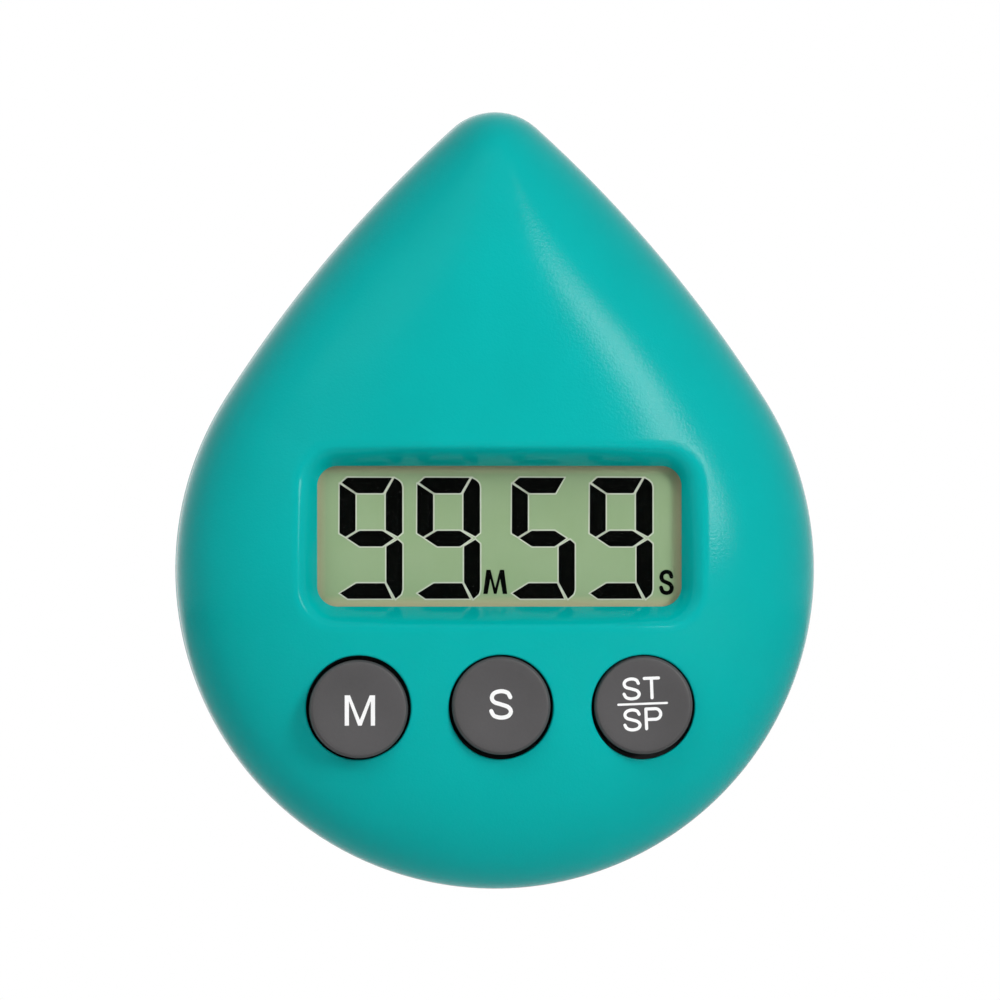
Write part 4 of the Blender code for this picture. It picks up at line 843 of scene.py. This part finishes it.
# rear cover, its battery cap, keyhole plate and screws
rearCover = {
    "rim": -0.3, "back": -8.0, "floor": -6.0, "wall": 2.0,
    "round": 6.0, "roundSteps": 14, "edge": 0.12, "weld": 0.002,
    "battery": {"place": (0.0, -20.55), "bore": 9.45, "seat": -5.7, "wall": 9.95, "wallTop": -1.0},
    "wells": [(8.75, -4.8), (6.15, -1.9)],
    "hanger": {"ends": ((0.0, -2.0), (0.0, 11.4)), "radius": 8.1, "seat": -6.5, "wallTop": -5.3},
    "pocket": {"ends": ((0.0, 0.2), (0.0, 9.2)), "radius": 5.3, "seat": -4.2, "wallTop": -3.0},
    "slotWall": 1.2,
    "screws": [(0.0, 36.0), (26.98, -15.27), (-26.98, -15.27)],
    "screwBore": (2.2, -5.9), "boss": (3.2, 1.5),
}
overcut = 1.0  # how far cutters and joined solids run past the faces that they meet
softCorner = 0.3  # the middle point of a small rounded edge, as a share of the edge
innerChamfer = 0.1


def stadiumLoop(ends, radius, steps=24):
    # points round two centres one over the other, counter-clockwise
    low, high = ends
    return arc(high, radius, 0, math.pi, steps) + arc(low, radius, math.pi, math.pi, steps)


def stadiumBody(ends, levels):
    # stadium loops of (radius, height)
    return ringBody([[(x, y, height) for x, y in stadiumLoop(ends, radius)] for radius, height in levels])


def flared(radius, floor, back=rearCover["back"], chamfer=0.15):
    # profile of a cutter from behind, wider at the face that it enters
    return [(radius + chamfer + overcut, back - overcut), (radius, back + chamfer), (radius, floor)]


def axial(profile):
    # a profile led to its axis at both ends
    return [(0, profile[0][1]), *profile, (0, profile[-1][1])]


def borer(place, *shape):
    return spun(axial(flared(*shape)), place, steps=72)


def makeRearCover():
    r = rearCover
    battery, plate, pocket = r["battery"], r["hanger"], r["pocket"]
    turns = [math.pi / 2 * (1 - k / r["roundSteps"]) for k in range(r["roundSteps"] + 1)]
    back, rim, edge, curve = r["back"], r["rim"], r["edge"], r["round"]
    section = [(curve * (1 - math.cos(turn)), back + curve * (1 - math.sin(turn))) for turn in turns]
    section += [(0, rim - edge), (edge * softCorner, rim - edge * softCorner), (edge, rim),
                (r["wall"], rim), (r["wall"], r["floor"])]
    bm = ringBody([[(x, y, height) for x, y in dropLoop(offset)] for offset, height in section])
    foot = r["floor"] - overcut
    bossRadius, bossTop = r["boss"]
    boss = axial([(bossRadius, foot), (bossRadius, bossTop)])
    solids = [spun(boss, place, steps=48) for place in r["screws"]]
    wall = axial([(battery["wall"], foot), (battery["wall"], battery["wallTop"])])
    solids.append(spun(wall, battery["place"], steps=72))
    for slot in (plate, pocket):
        radius = slot["radius"] + r["slotWall"]
        solids.append(stadiumBody(slot["ends"], [(radius, foot), (radius, slot["wallTop"])]))
    bm = cutWith(bm, solids, "UNION")
    cutters = [borer(battery["place"], battery["bore"], battery["seat"]),
               stadiumBody(plate["ends"], flared(plate["radius"], plate["seat"]))]
    cutters += [borer(place, *r["screwBore"]) for place in r["screws"]]
    cutters += [borer(battery["place"], *well, battery["seat"], innerChamfer) for well in r["wells"]]
    inner = flared(pocket["radius"], pocket["seat"], plate["seat"], innerChamfer)
    bm = cutWith(bm, [*cutters, stadiumBody(pocket["ends"], inner)])
    bmesh.ops.remove_doubles(bm, verts=bm.verts, dist=r["weld"])
    bmesh.ops.dissolve_degenerate(bm, edges=bm.edges, dist=r["weld"])
    piece = addPiece("rearCover", bm, "tealPlastic", "housing", "rear_cover", sharpAngle=35)
    print("rear cover:", len(piece.data.vertices), "points")


makeRearCover()


hanger = {
    "ends": ((0.0, -2.0), (0.0, 11.4)),
    "radius": 7.8, "back": -8.0, "front": -6.8, "edge": 0.18,
    "wide": (4.9, 48), "narrow": (2.9, 20), "flare": 0.2, "drop": 0.2, "rest": 9.2,
    "screws": [(0.0, 17.0), (0.0, -7.6)], "sink": (1.9, -7.1),
}


def keyholeLoop(spread):
    # a wide round hole with a narrow slot above it
    (wide, wideSteps), (narrow, narrowSteps) = hanger["wide"], hanger["narrow"]
    entry = math.asin((narrow + spread) / (wide + spread))
    slot = arc((0, hanger["rest"]), narrow + spread, 0, math.pi, narrowSteps)
    start, sweep = math.pi / 2 + entry, math.tau - 2 * entry
    return slot + arc((0, hanger["drop"]), wide + spread, start, sweep, wideSteps)


def makeHanger():
    h = hanger
    edge, back = h["edge"], h["back"]
    bm = stadiumBody(h["ends"], [
        (h["radius"] - edge, back), (h["radius"] - edge * softCorner, back + edge * softCorner),
        (h["radius"], back + edge), (h["radius"], h["front"])])
    flare = [(h["flare"] + overcut, back - overcut), (0.0, back + h["flare"]), (0.0, h["front"] + overcut)]
    cutters = [ringBody([[(x, y, height) for x, y in keyholeLoop(spread)] for spread, height in flare])]
    cutters += [borer(place, *h["sink"]) for place in h["screws"]]
    bm = cutWith(bm, cutters)
    addPiece("keyholePlate", bm, "darkPlastic", "housing", "keyhole_plate", sharpAngle=35)
    print("keyhole plate made")


makeHanger()


screwSizes = {
    "case_screw": {"places": rearCover["screws"], "head": (1.9, 1.3), "back": -7.5, "shank": (1.1, 12.0)},
    "plate_screw": {"places": hanger["screws"], "head": (1.6, 0.6), "back": -8.0, "shank": (0.9, 3.8)},
}
# crown, side, blade and sink are shares of the head, and point is one of the shank's radius
screwShape = {
    "crown": 0.78, "side": 0.45, "round": 0.35, "point": 1.6,
    "blade": (1.3, 0.3, 0.9), "taper": (0.45, 0.7), "sink": 0.1, "turns": (20, 110),
}


def taperedBlock(size, taper):
    # a block that is narrower at its front
    block = bmesh.new()
    bmesh.ops.create_cube(block, size=1)
    bmesh.ops.scale(block, vec=size, verts=block.verts)
    for vert in block.verts:
        if vert.co.z > 0:
            vert.co.x *= taper[0]
            vert.co.y *= taper[1]
    return block


def makeScrews():
    # pan heads with a cross recess, seen from behind
    c = screwShape
    for name, size in screwSizes.items():
        headRadius, headThick = size["head"]
        radius, length = size["shank"]
        back = size["back"]
        seat = back + headThick
        across, thick, deep = c["blade"]
        head = roundedProfile([
            (0, back), (headRadius * c["crown"], back), (headRadius, back + headThick * c["side"]),
            (headRadius, seat), (radius, seat)], c["round"])
        profile = [*head, (radius, seat + length - radius * c["point"]), (0, seat + length)]
        for index, place in enumerate(size["places"]):
            cutters = []
            for turn in c["turns"]:
                bladeSize = (headRadius * across, headRadius * thick, headThick * deep)
                blade = taperedBlock(bladeSize, c["taper"])
                turned = Matrix.Rotation(math.radians(turn), 3, "Z")
                bmesh.ops.rotate(blade, cent=(0, 0, 0), matrix=turned, verts=blade.verts)
                bmesh.ops.translate(blade, vec=(*place, back + headThick * c["sink"]), verts=blade.verts)
                cutters.append(blade)
            bm = cutWith(spun(profile, place, steps=48), cutters)
            addPiece(f"{name.replace('_', '')}{index + 1}Head", bm, "brushedSteel", "housing",
                     f"{name}_{index + 1}", sharpAngle=35)
    print("screws made")


makeScrews()


batteryCap = {
    "place": (0.0, -20.55),
    "radius": 9.15, "back": -7.8, "front": -6.0, "round": (0.3, 4),
    "hub": (7.35, 6.15, -2.9),
    "coinSlot": (12.0, 1.8, 1.0), "slotTaper": (0.86, 0.8), "slotBevel": (0.4, 4),
    "ring": (7.4, 7.9, 0.25, 0.15),
}


def makeBatteryCap():
    c = batteryCap
    back, front = c["back"], c["front"]
    hubOuter, hubInner, hubFront = c["hub"]
    ringIn, ringOut, ringDeep, ringSlope = c["ring"]
    ringFloor = back + ringDeep
    profile = roundedProfile([
        (0, back), (ringIn, back), (ringIn + ringSlope, ringFloor), (ringOut - ringSlope, ringFloor),
        (ringOut, back), (c["radius"], back), (c["radius"], front), (hubOuter, front),
        (hubOuter, hubFront), (hubInner, hubFront), (hubInner, front), (0, front)], *c["round"])
    length, width, deep = c["coinSlot"]
    slot = taperedBlock((length, width, 2 * deep), c["slotTaper"])
    upright = [edge for edge in slot.edges if abs(edge.verts[0].co.z - edge.verts[1].co.z) > deep]
    bevel, segments = c["slotBevel"]
    bmesh.ops.bevel(slot, geom=upright, offset=bevel, offset_type="OFFSET", affect="EDGES",
                    segments=segments, profile=0.5, material=-1)
    bmesh.ops.translate(slot, vec=(*c["place"], back), verts=slot.verts)
    addPiece("batteryCapDisc", cutWith(spun(profile, c["place"]), [slot]), "darkPlastic", "battery_cap",
             "battery_cap", sharpAngle=35)
    print("battery cap made")


makeBatteryCap()


# keypad: a rubber sheet, and three rubber domes behind the caps
keypad = {
    "level": -16.2, "reach": 16.86, "halfWidth": 4.4, "back": 5.9, "front": 6.6, "edge": 0.12,
    "opening": (3.5, 2.86), "clear": 0.5,
    "dome": [(3.7, 6.61), (2.8, 7.7), (0, 7.7)],
    "hollow": [(0, 7.2), (2.3, 7.2), (2.85, 6.61)],
    "round": 0.3, "keep": 0.5,
    "domes": {"minute": (-16.86, -16.2), "second": (0.0, -16.2), "start_stop": (16.86, -16.2)},
}


def makeKeypad():
    k = keypad
    edge = k["edge"]
    levels = [(k["back"], edge), (k["back"] + edge, 0), (k["front"] - edge, 0), (k["front"], edge)]
    ends = ((k["level"], -k["reach"]), (k["level"], k["reach"]))
    loops = [[(x, y, z) for y, x in stadiumLoop(ends, k["halfWidth"] - inset)] for z, inset in levels]
    wide, narrow = k["opening"]
    cone = axial([(wide, k["back"] - k["clear"]), (wide, k["back"]),
                  (narrow, k["front"]), (narrow, k["front"] + k["clear"])])
    sheet = cutWith(ringBody(loops), [spun(cone, place) for place in k["domes"].values()])
    addPiece("keypadSheet", sheet, "greyRubber", "housing", "keypad_mat")
    profile = k["hollow"] + roundedProfile(k["dome"], k["round"])
    for name, place in k["domes"].items():
        dome = spun(profile, place, steps=48)
        piece = addPiece(name.replace("_", "") + "Dome", dome, "greyRubber", "housing")
        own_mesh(piece)
    print("keypad made")


makeKeypad()


suctionCup = {
    "radius": 20.0, "rimWidth": 1.2, "rimThick": 0.9, "crown": 6.2, "hollow": 3.4,
    "boss": (5.5, 9.7), "neck": (2.5, 11.5), "knob": (4.5, 13.5), "knobFace": (0.75, 0.8),
    "round": 0.4, "skirt": (2, 0.4), "fallPower": 1.6, "lip": (0.25, 0.2),
    "steps": 26, "spinSteps": 128,
}


def makeSuctionCup():
    # height is counted from the wall
    s = suctionCup
    bossRadius, shoulder = s["boss"]
    neckRadius, knobBack = s["neck"]
    knobRadius, knobFront = s["knob"]
    faceShare, faceDeep = s["knobFace"]
    skirtOut, skirtDown = s["skirt"]
    lipHigh, lipIn = s["lip"]
    knob = [(0, knobFront), (knobRadius * faceShare, knobFront), (knobRadius, knobFront - faceDeep),
            (knobRadius, knobBack), (neckRadius, knobBack), (neckRadius, shoulder), (bossRadius, shoulder),
            (bossRadius, s["crown"])]
    profile = roundedProfile([*knob, (bossRadius + skirtOut, s["crown"] - skirtDown)], s["round"])[:-1]
    shares = [step / s["steps"] for step in range(1, s["steps"] + 1)]
    width, fall = s["radius"] - bossRadius, s["crown"] - s["rimThick"]
    profile += [(bossRadius + width * share, s["rimThick"] + fall * (1 - share ** s["fallPower"]))
                for share in shares]
    rim = s["radius"] - s["rimWidth"]
    profile += [(s["radius"], lipHigh), (s["radius"] - lipIn, 0), (rim, 0)]
    profile += [(rim * (1 - share), s["hollow"] * (1 - (1 - share) ** 2)) for share in shares]
    bm = spun(profile, steps=s["spinSteps"])
    addPiece("suctionCupSkin", bm, "softVinyl", "suction_cup", "suction_cup", cupToRow)
    print("suction cup made")


makeSuctionCup()

# camera, floor and light
view = {
    "azimuth": -2.7, "elevation": 0.0, "distance": 4.0, "span": 0.1185,
    "centre": (0.00063, -0.018, -0.00095), "sensor": 36, "clip": 20,
}


# where something stands, seen from the timer: turned round it from the front and lifted, in degrees
def direction(turn, lift):
    turn, lift = math.radians(turn), math.radians(lift)
    return Vector((math.sin(turn) * math.cos(lift), -math.cos(turn) * math.cos(lift), math.sin(lift)))


# a long lens, straight on and turned a little to the left
def placeCamera():
    back = direction(view["azimuth"], view["elevation"])
    camera = bpy.data.cameras.new("camera")
    camera.sensor_width = view["sensor"]
    camera.lens = view["sensor"] * view["distance"] / view["span"]
    camera.clip_end = view["clip"]
    holder = bpy.data.objects.new("camera", camera)
    holder.location = Vector(view["centre"]) + back * view["distance"]
    holder.rotation_euler = back.to_track_quat("Z", "Y").to_euler()
    bpy.context.scene.collection.objects.link(holder)
    bpy.context.scene.camera = holder


# turn, lift and lean in degrees, size in metres, power in watts, and whether it shows as a highlight
lamps = {
    "strip": (34.5, 18, 20, (0.2, 0.52), 6.0, True),
    "front": (0, 45, 0, (0.5, 0.5), 1.4, False),
    "left": (-35, 25, 0, (0.5, 0.5), 0.9, False),
    "upperLeft": (-40, 40, 0, (0.5, 0.5), 2.5, False),
    "back": (180, 35, 0, (0.6, 0.6), 5.0, False),
}
lampTarget = (0, -0.02, 0)
worldLight = 0.04


# softboxes a metre off that all face the timer
def placeLamps():
    for name, (turn, lift, lean, size, power, shine) in lamps.items():
        way = direction(turn, lift)
        light = bpy.data.lights.new(name, "AREA")
        light.shape = "RECTANGLE"
        light.size, light.size_y = size
        light.energy = power
        holder = bpy.data.objects.new(name, light)
        holder.location = Vector(lampTarget) + way
        leaned = way.to_track_quat("Z", "Y") @ Quaternion((0, 0, 1), math.radians(lean))
        holder.rotation_euler = leaned.to_euler()
        holder.visible_glossy = shine
        bpy.context.scene.collection.objects.link(holder)


# white to the camera and in reflections, plain grey light otherwise
def placeWorld():
    world = bpy.data.worlds.new("studio")
    world.use_nodes = True
    bpy.context.scene.world = world
    tree = world.node_tree
    background = tree.nodes["Background"]
    path = tree.nodes.new("ShaderNodeLightPath")
    seen = path.outputs["Is Camera Ray"]
    for ray in ("Is Glossy Ray", "Is Transmission Ray"):
        seen = addMath(tree, "MAXIMUM", seen, path.outputs[ray]).outputs["Value"]
    amount = addRange(tree, seen, worldLight, 1.0, (0.0, 1.0))
    tree.links.new(amount, background.inputs["Strength"])
    background.inputs["Color"].default_value = (1, 1, 1, 1)


floorSize = 0.9
floorDrop = 0.12


# a pale floor well under the timer, which hangs on a wall in use
def placeFloor():
    bm = bmesh.new()
    bmesh.ops.create_grid(bm, x_segments=1, y_segments=1, size=floorSize)
    mesh = bpy.data.meshes.new("floor")
    bm.to_mesh(mesh)
    bm.free()
    floor = bpy.data.objects.new("floor", mesh)
    floor.location.z = -floorDrop
    mesh.materials.append(materials["floorPaint"])
    bpy.context.scene.collection.objects.link(floor)


placeCamera()
placeLamps()
placeWorld()
placeFloor()
bpy.context.scene.view_settings.view_transform = "Standard"
print("camera and light placed")
